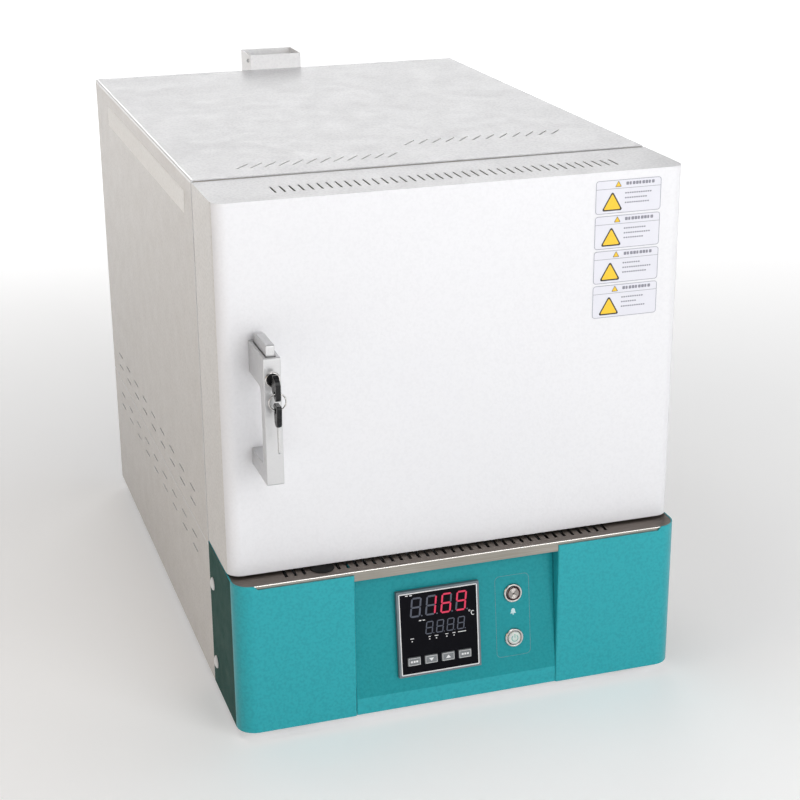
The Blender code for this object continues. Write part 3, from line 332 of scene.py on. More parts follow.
extruded = Finish("extruded_aluminium", (0.68, 0.69, 0.70), 0.35, 1.0)
extruded.tint(extruded.span(extruded.noise(700, 3, 0.6, (1, 0.02, 1)), 0.4, 0.8, 0.0, 0.5), (0.54, 0.55, 0.57))
extruded.rough(extruded.noise(500, 3, 0.6, (1, 0.03, 1)), 0.3, 0.7, 0.3, 0.46)

paper = Finish("label_film", (0.71, 0.71, 0.765), 0.4)
paper.tint(paper.span(paper.noise(50, 4), 0.4, 0.8, 0.0, 0.5), (0.66, 0.66, 0.72))
paper.rough(paper.noise(160, 3), 0.3, 0.7, 0.34, 0.46)

ink = Finish("grey_ink", (0.20, 0.20, 0.24), 0.5)
ink.tint(ink.span(ink.noise(1500, 3), 0.4, 0.75, 0.0, 0.7), (0.36, 0.36, 0.42))
ink.rough(ink.noise(300, 3), 0.3, 0.7, 0.42, 0.58)

pale_ink = Finish("pale_panel_ink", (0.55, 0.74, 0.76), 0.5)
pale_ink.tint(pale_ink.span(pale_ink.noise(1300, 3), 0.4, 0.8, 0.0, 0.6), (0.38, 0.62, 0.66))
pale_ink.rough(pale_ink.noise(300, 3), 0.3, 0.7, 0.42, 0.58)

line_ink = Finish("grey_panel_ink", (0.15, 0.25, 0.28), 0.5)
line_ink.tint(line_ink.span(line_ink.noise(500, 3), 0.4, 0.7, 0.0, 0.9), (0.06, 0.235, 0.26))
line_ink.rough(line_ink.noise(300, 3), 0.3, 0.7, 0.42, 0.58)

dark_ink = Finish("black_ink", (0.02, 0.018, 0.015), 0.5)
dark_ink.tint(dark_ink.span(dark_ink.noise(900, 3), 0.4, 0.8, 0.0, 0.6), (0.05, 0.045, 0.035))
dark_ink.rough(dark_ink.noise(300, 3), 0.3, 0.7, 0.42, 0.58)

amber = Finish("amber_ink", (0.86, 0.55, 0.02), 0.42)
amber.tint(amber.span(amber.noise(300, 3), 0.4, 0.8, 0.0, 0.5), (0.78, 0.46, 0.02))
amber.rough(amber.noise(300, 3), 0.3, 0.7, 0.36, 0.5)

red_lens = Finish("dark_red_lens", (0.028, 0.004, 0.005), 0.22, Specular_IOR_Level=0.25)
red_lens.tint(red_lens.span(red_lens.noise(500, 3), 0.4, 0.8, 0.0, 0.6), (0.06, 0.006, 0.008))
red_lens.rough(red_lens.noise(300, 3), 0.3, 0.7, 0.16, 0.3)

lit = Finish("lit_segment", (0.16, 0.008, 0.02), 0.4, Emission_Color=(0.62, 0.018, 0.075, 1.0), Emission_Strength=0.9)
lit.tint(lit.span(lit.noise(900, 3), 0.4, 0.8, 0.0, 0.4), (0.11, 0.006, 0.015))

dim = Finish("dim_segment", (0.07, 0.08, 0.11), 0.4)
dim.tint(dim.span(dim.noise(900, 3), 0.4, 0.8, 0.0, 0.6), (0.045, 0.052, 0.075))
dim.rough(dim.noise(300, 3), 0.3, 0.7, 0.34, 0.5)

print_white = Finish("white_print", (0.78, 0.78, 0.78), 0.5)
print_white.tint(print_white.span(print_white.noise(1400, 3), 0.4, 0.8, 0.0, 0.6), (0.60, 0.60, 0.61))
print_white.rough(print_white.noise(300, 3), 0.3, 0.7, 0.42, 0.58)

mint = Finish("mint_print", (0.12, 0.38, 0.32), 0.4)
mint.tint(mint.span(mint.noise(1400, 3), 0.4, 0.8, 0.0, 0.5), (0.18, 0.44, 0.38))
mint.rough(mint.noise(300, 3), 0.3, 0.7, 0.34, 0.5)

terminal_green = Finish("terminal_plastic", (0.035, 0.04, 0.042), 0.5)
terminal_green.tint(terminal_green.span(terminal_green.noise(90, 4), 0.4, 0.8, 0.0, 0.6), (0.07, 0.075, 0.078))
terminal_green.rough(terminal_green.noise(160, 3), 0.3, 0.7, 0.42, 0.58)


# ---------------------------------------------------------------- mesh helpers
def box(bm, x0, x1, y0, y1, z0, z1):
    v = [bm.verts.new((x, y, z)) for z in (z0, z1) for y in (y0, y1) for x in (x0, x1)]
    for a, b, c, d in ((0, 2, 3, 1), (4, 5, 7, 6), (0, 1, 5, 4), (2, 6, 7, 3), (0, 4, 6, 2), (1, 3, 7, 5)):
        bm.faces.new((v[a], v[b], v[c], v[d]))


def plate(bm, points, y0, y1):
    """A polygon of (x, z) points, thickened along y."""
    low = [bm.verts.new((x, y0, z)) for x, z in points]
    high = [bm.verts.new((x, y1, z)) for x, z in points]
    bm.faces.new(low)
    bm.faces.new(high)
    for i in range(len(points)):
        j = (i + 1) % len(points)
        bm.faces.new((low[i], low[j], high[j], high[i]))


def frame_plate(bm, outer, inner, y0, y1):
    """The band between two outlines of the same number of (x, z) points, thickened along y."""
    rings = [[bm.verts.new((x, y, z)) for x, z in outline] for y in (y0, y1) for outline in (outer, inner)]
    n = len(outer)
    for a, b in ((0, 1), (1, 3), (3, 2), (2, 0)):
        for i in range(n):
            j = (i + 1) % n
            bm.faces.new((rings[a][i], rings[a][j], rings[b][j], rings[b][i]))


def rounded_box(x0, x1, z0, z1, r, steps=5):
    points = []
    for cx, cz, start in ((x1 - r, z1 - r, 0), (x0 + r, z1 - r, 90), (x0 + r, z0 + r, 180), (x1 - r, z0 + r, 270)):
        for k in range(steps + 1):
            a = math.radians(start + 90 * k / steps)
            points.append((cx + r * math.cos(a), cz + r * math.sin(a)))
    return points


def ring_band(bm, x0, x1, z0, z1, r, line, y0, y1):
    frame_plate(bm, rounded_box(x0, x1, z0, z1, r), rounded_box(x0 + line, x1 - line, z0 + line, z1 - line, max(r - line, 0.05)), y0, y1)


def disc_outline(cx, cz, r, n=32, start=0.0, sweep=360.0):
    return [(cx + r * math.cos(math.radians(start + sweep * k / n)), cz + r * math.sin(math.radians(start + sweep * k / n))) for k in range(n)]


def rounded_triangle(cx, z0, side, r, steps=4):
    """An upright equilateral triangle standing on z0, its corners rounded."""
    h = side * math.sqrt(3) / 2
    centre = (cx, z0 + h / 3)
    reach = 2 * h / 3 - 2 * r
    points = []
    for corner in (90, 210, 330):
        x = centre[0] + reach * math.cos(math.radians(corner))
        z = centre[1] + reach * math.sin(math.radians(corner))
        for k in range(steps + 1):
            a = math.radians(corner - 60 + 120 * k / steps)
            points.append((x + r * math.cos(a), z + r * math.sin(a)))
    return points


def lathe(bm, profile, centre, axis="y", segments=40):
    """A closed (radius, along) outline turned about an axis through centre."""
    c = Vector(centre)

    def at(r, h, a):
        s, t = r * math.cos(a), r * math.sin(a)
        return c + Vector({"x": (h, s, t), "y": (s, h, t), "z": (s, t, h)}[axis])

    rings = []
    for r, h in profile:
        if r < 1e-9:
            rings.append([bm.verts.new(at(0, h, 0))])
        else:
            rings.append([bm.verts.new(at(r, h, 2 * math.pi * k / segments)) for k in range(segments)])
    for i in range(len(rings)):
        a, b = rings[i], rings[(i + 1) % len(rings)]
        if len(a) == 1 and len(b) == 1:
            continue
        for k in range(segments):
            m = (k + 1) % segments
            if len(a) == 1:
                bm.faces.new((a[0], b[m], b[k]))
            elif len(b) == 1:
                bm.faces.new((a[k], a[m], b[0]))
            else:
                bm.faces.new((a[k], a[m], b[m], b[k]))


def bevel_edges(bm, width, segments, angle):
    edges = [e for e in bm.edges if len(e.link_faces) == 2 and e.calc_face_angle(0) > math.radians(angle)]
    if edges and width > 0:
        bmesh.ops.bevel(bm, geom=edges, offset=width, segments=segments, profile=0.6, affect="EDGES", clamp_overlap=True)


def settle(bm, name, finishes, body, node=(), smooth=40, pick=None):
    """Makes the object: smooth shaded with sharp creases, riding on its body."""
    bmesh.ops.recalc_face_normals(bm, faces=bm.faces)
    for face in bm.faces:
        face.smooth = True
        if pick:
            face.material_index = pick(face)
    mesh = bpy.data.meshes.new(name)
    bm.to_mesh(mesh)
    bm.free()
    mesh.set_sharp_from_angle(angle=math.radians(smooth))
    for finish in finishes if isinstance(finishes, (list, tuple)) else (finishes,):
        mesh.materials.append(finish.made)
    obj = bpy.data.objects.new(name, mesh)
    bpy.context.scene.collection.objects.link(obj)
    normals = obj.modifiers.new("even_normals", "WEIGHTED_NORMAL")
    normals.keep_sharp = True
    normals.weight = 100
    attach(obj, body)
    if node:
        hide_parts(*([node] if isinstance(node, str) else node))
    return obj


def piece(name, build, finishes, body, where=CABINET, bevel=0.0, segments=2, angle=30, smooth=40, node=(), pick=None):
    bm = bmesh.new()
    build(bm)
    bmesh.ops.recalc_face_normals(bm, faces=bm.faces)
    bevel_edges(bm, bevel, segments, angle)
    bm.transform(where)
    return settle(bm, name, finishes, body, node, smooth, pick)


def dress(node, finishes, bevel=0.4, segments=2, angle=30, smooth=40, pick=None, round_off=None):
    """A CAD node's own shape with its edges eased, in place of the node.

    round_off is a (test, radius): the edges whose two ends both pass the test, given their places in the
    cabinet frame, are rounded by that much before the rest are eased.
    """
    source = frame["nodes"][node]
    bm = bmesh.new()
    bm.from_mesh(source.data)
    bmesh.ops.remove_doubles(bm, verts=bm.verts, dist=2e-6)
    bmesh.ops.dissolve_limit(bm, angle_limit=math.radians(0.6), verts=bm.verts, edges=bm.edges)
    if round_off:
        test, radius = round_off
        edges = [
            e
            for e in bm.edges
            if len(e.link_faces) == 2 and e.calc_face_angle(0) > math.radians(40) and all(test((v.co - ORIGIN) / MM) for v in e.verts)
        ]
        bmesh.ops.bevel(bm, geom=edges, offset=radius * MM, segments=4, profile=0.5, affect="EDGES", clamp_overlap=True)
    bevel_edges(bm, bevel * MM, segments, angle)
    return settle(bm, node + "_skin", finishes, body_of(source)[0], node, smooth, pick)


def in_cabinet(face):
    return (face.calc_center_median() - ORIGIN) / MM


# ---------------------------------------------------------------- sheet metal
def front_hem(p):
    """The outer corner of a cover sheet's front edge."""
    return p.y < 0.05 and (abs(p.x) > HALF_W - 0.2 or p.z > HEIGHT - 6)


def side_face(face):
    return 1 if abs(face.normal.x) > 0.9 else 0


def sheet_face(face):
    """The side flats take the white coat in painted shade, the folded hems a glossier coat painted paler as a
    highlight, and the rest the plain coat.
    """
    if abs(face.normal.x) > 0.97:
        return 1
    return 0 if max(abs(face.normal.y), abs(face.normal.z)) > 0.97 else 2


dress("upper_cover", [white, white_sheet_painted_shade, white_hem_painted_highlight], 0.35, pick=sheet_face, round_off=(lambda p: front_hem(p) and (abs(p.x) > HALF_W - 0.05 or p.z > HEIGHT - 0.05), 1.1))
for side in ("left", "right"):
    top = local_box("lower_side_" + side)[1].z
    dress("lower_side_" + side, [white, white_sheet_painted_shade, white_hem_painted_highlight], 0.35, pick=sheet_face, round_off=(lambda p: abs(p.x) > HALF_W - 0.05 and (p.y < 0.05 or p.z > top - 0.05), 1.0))
dress("rear_panel", white, 0.3)
dress("base_pan", white, 0.3)
dress("vent_duct", duct_white, 0.35)
# door shell: the front and the sides take darker copies of the white coat, painted shade; the rest the plain coat
dress("door_shell", [white, white_side_painted_shade, white_front_painted_shade], 0.6, 3, pick=lambda f: 2 if f.normal.y < -0.3 else side_face(f))
# the base blocks' outer side faces take the dark teal copy, painted shade
for side in ("left", "right"):
    dress("base_block_" + side, [teal, teal_side_painted_shade], 0.45, 3, pick=lambda f: 1 if abs(f.normal.x) > 0.96 and abs(in_cabinet(f).x) > HALF_W - 0.1 else 0)
# the panel's sloped recess takes the darker teal, painted shade; its band below z 20.2 the plain teal
dress("control_panel", [teal_panel_painted_shade, teal], 0.35, pick=lambda f: 1 if in_cabinet(f).z < 20.2 else 0)


def ledge_finish(face):
    """The top is painted dark as shade under the door, the front of the lip is the plain stainless, and the bead
    between them is polished and painted pale as a highlight.
    """
    if in_cabinet(face).y < -124 and 0.12 < face.normal.z < 0.97:
        return 2
    return 0 if face.normal.z > 0.9 else 1


LEDGE_LO, LEDGE_HI = local_box("ledge_plate")
dress("ledge_plate", [ledge_top_painted_shade, stainless, ledge_bead_painted_highlight], 0.25, pick=ledge_finish, round_off=(lambda p: p.y < LEDGE_LO.y + 0.05 and p.z > LEDGE_HI.z - 0.05, 1.0))
dress("front_frame", heated, 0.25)
dress("door_liner", heated, 0.25)
dress("mid_deck", zinc, 0.25)
dress("latch_striker", zinc, 0.2)
dress("latch_hook", zinc, 0.3)
for label in ("top", "bottom"):
    dress("hinge_%s_fixed" % label, zinc, 0.25)
    dress("hinge_%s_door" % label, zinc, 0.25)

# hot parts
dress("insulation_jacket", fibre, 1.2)
dress("door_insulation", fibre, 1.5)
dress("door_plug", fibre, 2.0, 3)
dress("door_seal", fibre, 0.7)
dress("muffle", fired, 1.5, 3)
dress("hearth_plate", carbide, 1.5, 3)
dress("exhaust_tube", fired, 0.5)
dress("thermocouple", fired, 0.5)
for side in ("left", "right"):
    dress("heating_element_" + side, alloy, 0.0, smooth=75)

# electrics
dress("heat_sink", extruded, 0.3)
dress("solid_state_relay", black, 0.5)
dress("terminal_block", terminal_green, 0.4)
dress("cable_gland", black, 0.5)

# rubber
dress("hole_plug", rubber, 0.4)
for place in ("front_left", "front_right", "rear_left", "rear_right"):
    dress("foot_" + place, rubber, 0.8)
for side in ("left", "right"):
    for place in ("upper", "lower"):
        dress("flange_screw_%s_%s" % (side, place), cap_white, 0.3)

# ---------------------------------------------------------------- handle, lock and keys
dress("door_handle", die_cast, 1.0, 3, smooth=50)
dress("thumb_lever", die_cast, 0.7, 3)
dress("lock_barrel", chrome, 0.3)
dress("key_ring", chrome, 0.0, smooth=80)
dress("door_key", [key_black, turned], 0.6, 3, pick=lambda f: 1 if -173.8 < in_cabinet(f).y < -171.6 else 0)
dress("spare_key", [key_black, turned], 0.45, 3, pick=lambda f: 1 if in_cabinet(f).z < 374.8 else 0)

# ---------------------------------------------------------------- controller
dress("controller_housing", bezel_grey, 0.5)
dress("controller_window", window, 0.25)
for number in (1, 2, 3, 4):
    dress("controller_key_%d" % number, key_grey, 0.35)
dress("alarm_bezel", chrome, 0.25)
dress("power_bezel", chrome, 0.25)
dress("alarm_cap", turned, 0.3)
dress("power_cap", milky, 0.7, 3)

HOUSING_LO, HOUSING_HI = local_box("controller_housing")
CTRL_X = (HOUSING_LO.x + HOUSING_HI.x) / 2
FACE = -5.7  # the window's outer face in the panel's axes


piece("display_border", lambda bm: ring_band(bm, CTRL_X - 45.6, CTRL_X + 45.6, -47.6, 47.6, 1.5, 1.15, -6.45, -5.9), print_white, "cabinet", PANEL, 0.15)

SEGMENTS = {"8": "abcdefg", "1": "bc", "6": "acdefg", "9": "abcdfg", "0": "abcdef", "": ""}


def digit(bm_on, bm_off, x, z, w, h, t, shown, lean=0.12):
    """Seven six-sided bars, leaning to the right; those that are lit go to the first mesh."""
    mid, gap = z + h / 2, t * 0.12

    def bar(bm, x0, z0, x1, z1):
        along = Vector((x1 - x0, z1 - z0)).normalized()
        side = Vector((-along.y, along.x)) * t / 2
        a, b = Vector((x0, z0)) + along * gap, Vector((x1, z1)) - along * gap
        tip = along * t / 2
        points = [a, a + tip + side, b - tip + side, b, b - tip - side, a + tip - side]
        plate(bm, [(p.x + lean * (p.y - z), p.y) for p in points], FACE - 0.12, FACE - 0.02)

    l, r, lo, hi = x + t / 2, x + w - t / 2, z + t / 2, z + h - t / 2
    ends = {"a": (l, hi, r, hi), "b": (r, hi, r, mid), "c": (r, mid, r, lo), "d": (l, lo, r, lo), "e": (l, mid, l, lo), "f": (l, hi, l, mid), "g": (l, mid, r, mid)}
    for name, line in ends.items():
        bar(bm_on if name in SEGMENTS[shown] else bm_off, *line)


bm_lit, bm_dim = bmesh.new(), bmesh.new()
for x, shown in zip((-62.3, -44.7, -27.0, -9.6), ("", "1", "6", "9")):
    digit(bm_lit, bm_dim, x, 18.6, 12.2, 23.0, 2.0, shown)
for x in (-45.2, -32.8, -20.6, -8.3):
    digit(bm_lit, bm_dim, x, -3.2, 8.6, 15.0, 1.25, "")
for x, z, r in [(-62.3 + 17.65 * k + 14.0, 19.6, 0.95) for k in range(4)] + [(-45.2 + 12.3 * k + 9.9, -2.5, 0.6) for k in range(4)]:
    plate(bm_dim, disc_outline(x, z, r, 14), FACE - 0.12, FACE - 0.02)
for bm_part, name, finish in ((bm_lit, "display_lit_segments", lit), (bm_dim, "display_dim_segments", dim)):
    bm_part.transform(PANEL)
    settle(bm_part, name, finish, "cabinet")


def display_marks(bm):
    """Small plain marks beside the digits, and a degree sign."""
    y0, y1 = FACE - 0.1, FACE - 0.02
    for x, z, w, h in (
        (-66.4, 44.2, 3.0, 1.1), (-61.6, 44.0, 3.0, 1.1), (-51.8, 13.6, 2.8, 1.0), (-47.6, 13.5, 2.8, 1.0),
        (-62.6, -6.2, 4.2, 0.8), (-41.5, -6.5, 2.4, 0.8), (-34.5, -6.5, 4.4, 0.8), (-22.0, -6.5, 3.6, 0.8), (-13.5, -6.5, 3.4, 0.8), (-7.0, -6.5, 9.5, 0.8),
    ):
        plate(bm, rounded_box(x, x + w, z, z + h, 0.25, 2), y0, y1)
    for x in (-60.6, -40.3, -32.4, -20.3, -11.8):
        plate(bm, disc_outline(x, -9.0, 0.7, 12), y0, y1)
    frame_plate(bm, disc_outline(7.2, 17.0, 1.1, 16), disc_outline(7.2, 17.0, 0.6, 16), y0, y1)
    arc = [(11.2 + 2.3 * math.cos(math.radians(a)), 14.0 + 2.8 * math.sin(math.radians(a))) for a in range(50, 311, 20)]
    inner = [(11.2 + 1.5 * math.cos(math.radians(a)), 14.0 + 2.0 * math.sin(math.radians(a))) for a in range(310, 49, -20)]
    plate(bm, arc + inner, y0, y1)


piece("display_marks", display_marks, print_white, "cabinet", PANEL)

# raised symbols on the four keys
for number in (1, 2, 3, 4):
    lo, hi = local_box("controller_key_%d" % number)
    x, z_mid = (lo.x + hi.x) / 2, -32.4

    def symbol(bm):
        y0, y1 = -7.18, -6.98
        ring_band(bm, x - 6.7, x + 6.7, z_mid - 4.1, z_mid + 4.1, 0.8, 0.35, y0, y1)
        if number == 2:
            plate(bm, [(x - 3.0, z_mid + 1.7), (x, z_mid - 2.0), (x + 3.0, z_mid + 1.7)], y0, y1)
        elif number == 3:
            plate(bm, [(x - 3.0, z_mid - 1.7), (x + 3.0, z_mid - 1.7), (x, z_mid + 2.0)], y0, y1)
        else:
            for k in (-1, 0, 1):
                plate(bm, rounded_box(x + 3.1 * k - 1.1, x + 3.1 * k + 1.1, z_mid - 1.1, z_mid + 1.1, 0.3, 2), y0, y1)

    piece("key_symbol_%d" % number, symbol, print_white, "controller_key_%d" % number, PANEL)

# buttons: the alarm one has a dark ring round a spun face, the power one a milky disc with its symbol
BUTTON_X, ALARM_Z, POWER_Z = 61.0, 27.6, -25.5


def spun_face(bm):
    """A disc turned with fine grooves, so that light streaks across it from the middle."""
    profile = [(0, -3.25), (6.15, -3.25), (6.15, -3.5)]
    profile += [(6.0 - 0.16 * k, -3.5 - (0.045 if k % 2 else 0.0)) for k in range(32)]
    lathe(bm, profile + [(0, -3.5)], (BUTTON_X, 0, ALARM_Z), segments=56)


piece("alarm_face", spun_face, spun, "alarm_cap", PANEL, smooth=2)
piece(
    "alarm_ring",
    lambda bm: lathe(bm, [(6.2, -3.25), (7.6, -3.25), (7.6, -3.45), (6.9, -3.62), (6.2, -3.45)], (BUTTON_X, 0, ALARM_Z)),
    red_lens,
    "alarm_cap",
    PANEL,
)
piece(
    "alarm_lens",
    lambda bm: lathe(bm, [(0, -3.4), (1.15, -3.4), (1.15, -3.6), (0.8, -3.75), (0, -3.8)], (BUTTON_X, 0, ALARM_Z), segments=20),
    dark_ink,
    "alarm_cap",
    PANEL,
)


def power_symbol(bm):
    outer = [(BUTTON_X + 4.1 * math.cos(math.radians(a)), POWER_Z + 4.1 * math.sin(math.radians(a))) for a in range(125, 416, 10)]
    inner = [(BUTTON_X + 3.2 * math.cos(math.radians(a)), POWER_Z + 3.2 * math.sin(math.radians(a))) for a in range(415, 124, -10)]
    plate(bm, outer + inner, -3.55, -3.38)
    plate(bm, rounded_box(BUTTON_X - 0.45, BUTTON_X + 0.45, POWER_Z + 0.6, POWER_Z + 5.0, 0.4, 3), -3.55, -3.38)


piece("power_symbol", power_symbol, mint, "power_cap", PANEL)


def button_outline(bm):
    """A fine dotted line round the two buttons."""
    points = rounded_box(40.2, 80.6, -47.2, 48.6, 5.5, 8)
    dense = []
    for i, (x0, z0) in enumerate(points):
        x1, z1 = points[(i + 1) % len(points)]
        n = max(1, round(math.hypot(x1 - x0, z1 - z0) / 1.25))
        dense += [(x0 + (x1 - x0) * k / n, z0 + (z1 - z0) * k / n) for k in range(n)]
    for x, z in dense:
        plate(bm, disc_outline(x, z, 0.42, 8), -0.14, -0.02)


piece("button_outline", button_outline, line_ink, "cabinet", PANEL)


def bell(bm):
    """A plain bell under the alarm button."""
    x, z = 61.0, 3.2
    points = [(x - 3.4, z), (x + 3.4, z), (x + 2.5, z + 1.4), (x + 2.2, z + 4.2), (x + 1.2, z + 5.6), (x, z + 6.1), (x - 1.2, z + 5.6), (x - 2.2, z + 4.2), (x - 2.5, z + 1.4)]
    plate(bm, points, -0.16, -0.02)
    plate(bm, disc_outline(x, z - 0.9, 0.8, 14), -0.16, -0.02)


piece("alarm_bell_print", bell, pale_ink, "cabinet", PANEL)


# ---------------------------------------------------------------- labels on the door: plain, with no words
def label(index, z1, z0):
    x0, x1 = 152.5, 228.5
    y = DOOR_FRONT
    fold = z1 - 9.6
    piece("door_label_%d" % index, lambda bm: plate(bm, rounded_box(x0, x1, z0, z1, 3.5), y - 0.22, y - 0.02), paper, "door")

    def lines(bm):
        ring_band(bm, x0 + 0.4, x1 - 0.4, z0 + 0.4, z1 - 0.4, 3.2, 0.45, y - 0.34, y - 0.21)
        plate(bm, rounded_box(x0 + 0.8, x1 - 0.8, fold - 0.2, fold + 0.2, 0.15, 2), y - 0.34, y - 0.21)
        for k in range(9):
            w = (3.1, 2.4, 3.1)[k % 3]
            plate(bm, rounded_box(x0 + 35 + 3.7 * k, x0 + 35 + 3.7 * k + w, fold + 3.2, fold + 6.6, 0.6, 2), y - 0.3, y - 0.21)
        for k, w in enumerate(((33, 26, 29), (28, 33, 24), (22, 35, 31), (26, 20, 30))[index - 1]):
            z = fold - 6.2 - 5.2 * k
            step = 2.6
            for n in range(int(w / step)):
                plate(bm, rounded_box(x0 + 34 + step * n, x0 + 34 + step * n + 1.9, z, z + 1.5, 0.4, 2), y - 0.3, y - 0.21)

    piece("door_label_lines_%d" % index, lines, ink, "door")
    piece(
        "door_label_border_%d" % index,
        lambda bm: (
            frame_plate(bm, rounded_triangle(x0 + 19.5, z0 + 3.2, 24.5, 1.6), rounded_triangle(x0 + 19.5, z0 + 3.2 + 1.5, 19.6, 0.9), y - 0.36, y - 0.21),
            frame_plate(bm, rounded_triangle(x0 + 26.0, fold + 1.7, 7.6, 0.5), rounded_triangle(x0 + 26.0, fold + 1.7 + 0.5, 6.0, 0.3), y - 0.36, y - 0.21),
        ),
        dark_ink,
        "door",
    )
    piece(
        "door_label_amber_%d" % index,
        lambda bm: (
            plate(bm, rounded_triangle(x0 + 19.5, z0 + 3.2 + 1.5, 19.6, 0.9), y - 0.3, y - 0.21),
            plate(bm, rounded_triangle(x0 + 26.0, fold + 1.7 + 0.5, 6.0, 0.3), y - 0.3, y - 0.21),
        ),
        amber,
        "door",
    )


for index, (z1, z0) in enumerate(((573.5, 537.0), (535.2, 498.6), (497.0, 460.4), (458.7, 422.0)), 1):
    label(index, z1, z0)


# ---------------------------------------------------------------- fine louvre bands high on both sides
def louvre_band(bm, sign):
    """A strip of flat upright ribs with fine grooves between them."""
    pitch, y0, y1, z0, z1 = 6.0, 39.0, 543.0, 539.0, 565.0
    count = int((y1 - y0) / pitch)
    base, top = sign * (HALF_W + 0.02), sign * (HALF_W + 0.5)
    for k in range(count):
        y = y0 + pitch * k
        section = [(base, y + 0.2), (top, y + 0.7), (top, y + 4.3), (base, y + 4.8)]
        rings = [[bm.verts.new((x, yy, z)) for x, yy in section] for z in (z0, z1)]
        inset = [[bm.verts.new((x, yy, z)) for x, yy in section[1:3]] for z in (z0 + 1.2, z1 - 1.2)]
        low, high = rings
        for v in (low[1], low[2], high[1], high[2]):
            bm.verts.remove(v)
        a, b, c, d = low[0], inset[0][0], inset[0][1], low[3]
        e, f, g, h = high[0], inset[1][0], inset[1][1], high[3]
        for face in ((a, b, f, e), (b, c, g, f), (c, d, h, g), (a, d, c, b), (e, f, g, h), (a, e, h, d)):
            bm.faces.new(face)


for side, sign in (("left", -1), ("right", 1)):
    piece("louvre_band_" + side, lambda bm: louvre_band(bm, sign), band, "cabinet")


# ---------------------------------------------------------------- small fixings
def pan_screw(bm, at, axis, sign, r=3.6):
    """A domed head with a cross cut in it, its flat side at the given point."""
    profile = [(0, 0), (r, 0), (r, 0.7), (r * 0.86, 1.5), (r * 0.55, 2.05), (0, 2.25)]
    part = bmesh.new()
    lathe(part, [(a, sign * b) for a, b in profile], (0, 0, 0), axis, 24)
    along = {"x": Vector((1, 0, 0)), "y": Vector((0, 1, 0))}[axis] * sign
    up = Vector((0, 0, 1))
    across = along.cross(up)
    for a, b in ((up, across), (across, up)):
        corners = []
        for s, t in ((-1, -1), (1, -1), (1, 1), (-1, 1)):
            corners.append(a * s * r * 0.52 + b * t * 0.34)
        low = [part.verts.new(c + along * 1.2) for c in corners]
        high = [part.verts.new(c * 0.96 + along * 2.32) for c in corners]
        part.faces.new(low)
        part.faces.new(high)
        for i in range(4):
            j = (i + 1) % 4
            part.faces.new((low[i], low[j], high[j], high[i]))
    bmesh.ops.translate(part, verts=part.verts, vec=Vector(at))
    mesh = bpy.data.meshes.new("scratch")
    part.to_mesh(mesh)
    part.free()
    bm.from_mesh(mesh)
    bpy.data.meshes.remove(mesh)


def rear_screws(bm):
    for x in (-246, 0, 246):
        for z in (10, 574):
            if not (x == 0 and z == 574):
                pan_screw(bm, (x, DEPTH + 0.02, z), "y", 1)
    for x in (-246, 246):
        for z in (150, 290, 430):
            pan_screw(bm, (x, DEPTH + 0.02, z), "y", 1)


piece("rear_screws", rear_screws, zinc, "cabinet", smooth=45)

DUCT_LO, DUCT_HI = local_box("vent_duct")


def duct_ears(bm):
    """Two folded ears that hold the duct against the rear panel."""
    for s, x in ((-1, DUCT_LO.x), (1, DUCT_HI.x)):
        xa, xb = sorted((x + s * 0.1, x + s * 12))
        for z in (DUCT_LO.z + 14, DUCT_HI.z - 62):
            plate(bm, rounded_box(xa, xb, z, z + 22, 2.0, 4), DEPTH + 0.1, DEPTH + 1.4)


piece("duct_ears", duct_ears, duct_white, "cabinet", bevel=0.25)


def duct_screws(bm):
    for s, x in ((-1, DUCT_LO.x), (1, DUCT_HI.x)):
        for z in (DUCT_LO.z + 25, DUCT_HI.z - 51):
            pan_screw(bm, (x + s * 6.5, DEPTH + 1.42, z), "y", 1, 3.2)
    pan_screw(bm, (DUCT_LO.x - 0.02, DUCT_LO.y + 12, DUCT_HI.z - 9), "x", -1, 2.6)
    pan_screw(bm, (DUCT_HI.x + 0.02, DUCT_LO.y + 12, DUCT_HI.z - 9), "x", 1, 2.6)


piece("duct_screws", duct_screws, zinc, "cabinet", smooth=45)


def hinge_screws(bm, y):
    for node in ("hinge_bottom_fixed", "hinge_top_fixed"):
        lo, hi = local_box(node)
        middle = (lo.z + hi.z) / 2
        for z in (middle - 21, middle + 21):
            pan_screw(bm, (HALF_W + 2.34, y, z), "x", 1, 3.0)


piece("hinge_screws_fixed", lambda bm: hinge_screws(bm, 19), zinc, "cabinet", smooth=45)
piece("hinge_screws_door", lambda bm: hinge_screws(bm, -22), zinc, "door", smooth=45)


def liner_screws(bm):
    lo, hi = local_box("door_liner")
    for x in (lo.x + 12, 0, hi.x - 12):
        for z in (lo.z + 12, hi.z - 12):
            pan_screw(bm, (x, hi.y + 0.02, z), "y", 1, 2.4)


piece("liner_screws", liner_screws, zinc, "door", smooth=45)

# ---------------------------------------------------------------- gland ribs
GLAND_LO, GLAND_HI = local_box("cable_gland")


def gland_ribs(bm):
    x, z = (GLAND_LO.x + GLAND_HI.x) / 2, (GLAND_LO.z + GLAND_HI.z) / 2
    for k in range(18):
        a = 2 * math.pi * k / 18
        cx, cz = x + 11.7 * math.cos(a), z + 11.7 * math.sin(a)
        plate(bm, disc_outline(cx, cz, 0.8, 8), DEPTH + 9, DEPTH + 16.5)


piece("gland_ribs", gland_ribs, black, "cabinet", bevel=0.15)

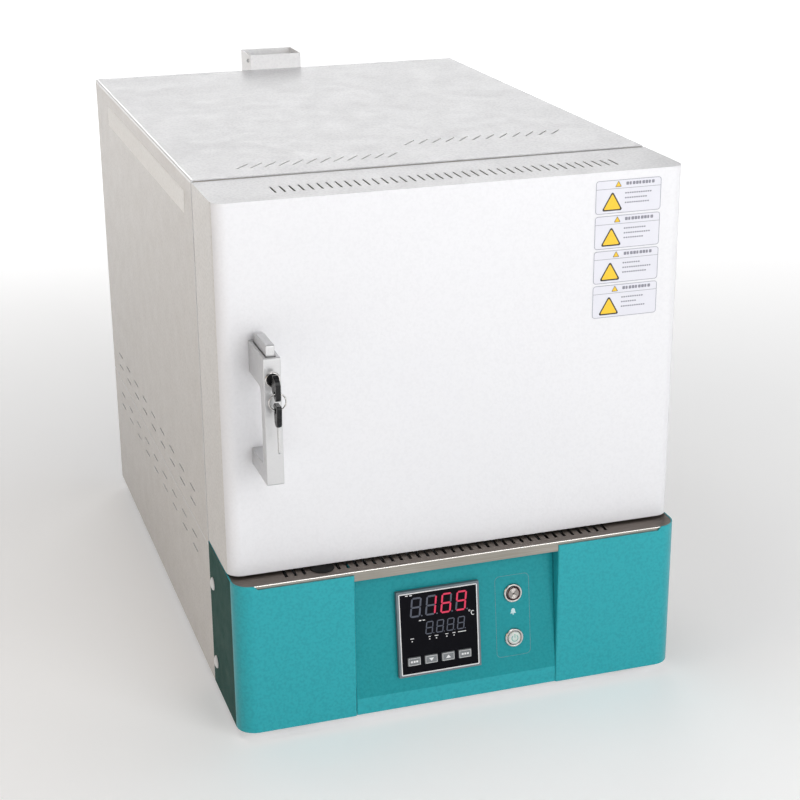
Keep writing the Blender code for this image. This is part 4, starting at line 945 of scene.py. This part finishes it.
# ---------------------------------------------------------------- camera, floor and lights
camera_data = bpy.data.cameras.new("camera")
camera_data.lens = 78.147
camera_data.sensor_width = 36
camera_data.clip_start, camera_data.clip_end = 0.05, 60
camera = bpy.data.objects.new("camera", camera_data)
bpy.context.scene.collection.objects.link(camera)
turn = Matrix.Rotation(-0.3115, 4, "Z") @ Matrix.Rotation(1.2168, 4, "X") @ Matrix.Rotation(-0.0079, 4, "Z")
camera.matrix_world = Matrix.Translation(ORIGIN + Vector((-0.592, -1.7413, 0.9909))) @ turn
bpy.context.scene.camera = camera

# the floor glows, weakly round the cabinet and fully from 3.4 m out: painted light that whitens the backdrop, dimmer
# near the cabinet
floor_finish = Finish("pale_floor_painted_glow", (0.93, 0.93, 0.93), 0.7, Emission_Color=(1.0, 1.0, 1.0, 1.0), Emission_Strength=0.1)
floor_finish.tint(floor_finish.span(floor_finish.noise(3, 4), 0.4, 0.7, 0.0, 0.3), (0.90, 0.90, 0.905))
floor_finish.rough(floor_finish.noise(20, 3), 0.3, 0.7, 0.66, 0.76)
away = floor_finish.tree.nodes.new("ShaderNodeVectorMath")
away.operation = "LENGTH"
floor_finish.link(floor_finish.coord, away.inputs[0])
floor_finish.link(floor_finish.span(away.outputs["Value"], 0.5, 3.4, 0.17, 1.0), floor_finish.shader.inputs["Emission Strength"])
bm = bmesh.new()
bmesh.ops.create_grid(bm, x_segments=2, y_segments=2, size=9)
mesh = bpy.data.meshes.new("floor")
bm.to_mesh(mesh)
bm.free()
mesh.materials.append(floor_finish.made)
floor = bpy.data.objects.new("floor", mesh)
bpy.context.scene.collection.objects.link(floor)
floor.location = (0, 0, CAD_LO.z - 0.0004)

bpy.context.scene.view_settings.view_transform = "Standard"
world = bpy.data.worlds.new("studio")
bpy.context.scene.world = world
world.use_nodes = True
world.node_tree.nodes["Background"].inputs["Color"].default_value = (0.99, 0.99, 1.0, 1)
# the studio's walls are pale low down and dim overhead
sky = world.node_tree
heading = sky.nodes.new("ShaderNodeTexCoord")
split = sky.nodes.new("ShaderNodeSeparateXYZ")
fade = sky.nodes.new("ShaderNodeMapRange")
for key, number in zip(("From Min", "From Max", "To Min", "To Max"), (0.02, 0.30, 0.66, 0.17)):
    fade.inputs[key].default_value = number
sky.links.new(heading.outputs["Generated"], split.inputs[0])
sky.links.new(split.outputs["Z"], fade.inputs["Value"])
sky.links.new(fade.outputs[0], sky.nodes["Background"].inputs["Strength"])


def area(name, at, target, size, power, colour=(1, 1, 1)):
    data = bpy.data.lights.new(name, "AREA")
    data.shape = "RECTANGLE"
    data.size, data.size_y = size
    data.energy = power
    data.color = colour
    lamp = bpy.data.objects.new(name, data)
    bpy.context.scene.collection.objects.link(lamp)
    lamp.location = at
    lamp.rotation_euler = (Vector(target) - Vector(at)).to_track_quat("-Z", "Y").to_euler()


middle = (CAD_LO + CAD_HI) / 2
area("key", middle + Vector((0.8, -3.1, 1.3)), middle, (2.6, 2.0), 59)
area("overhead", middle + Vector((-0.6, -0.7, 2.6)), middle, (1.6, 1.6), 13)
area("left_fill", middle + Vector((-2.9, -0.7, 0.9)), middle, (1.2, 1.2), 7.0, (1.0, 0.70, 0.40))
area("rear_left", middle + Vector((-1.5, 2.5, 1.7)), middle, (1.5, 1.1), 5)
area("back_fill", middle + Vector((0.8, 3.0, 1.4)), middle, (2.2, 1.8), 22)
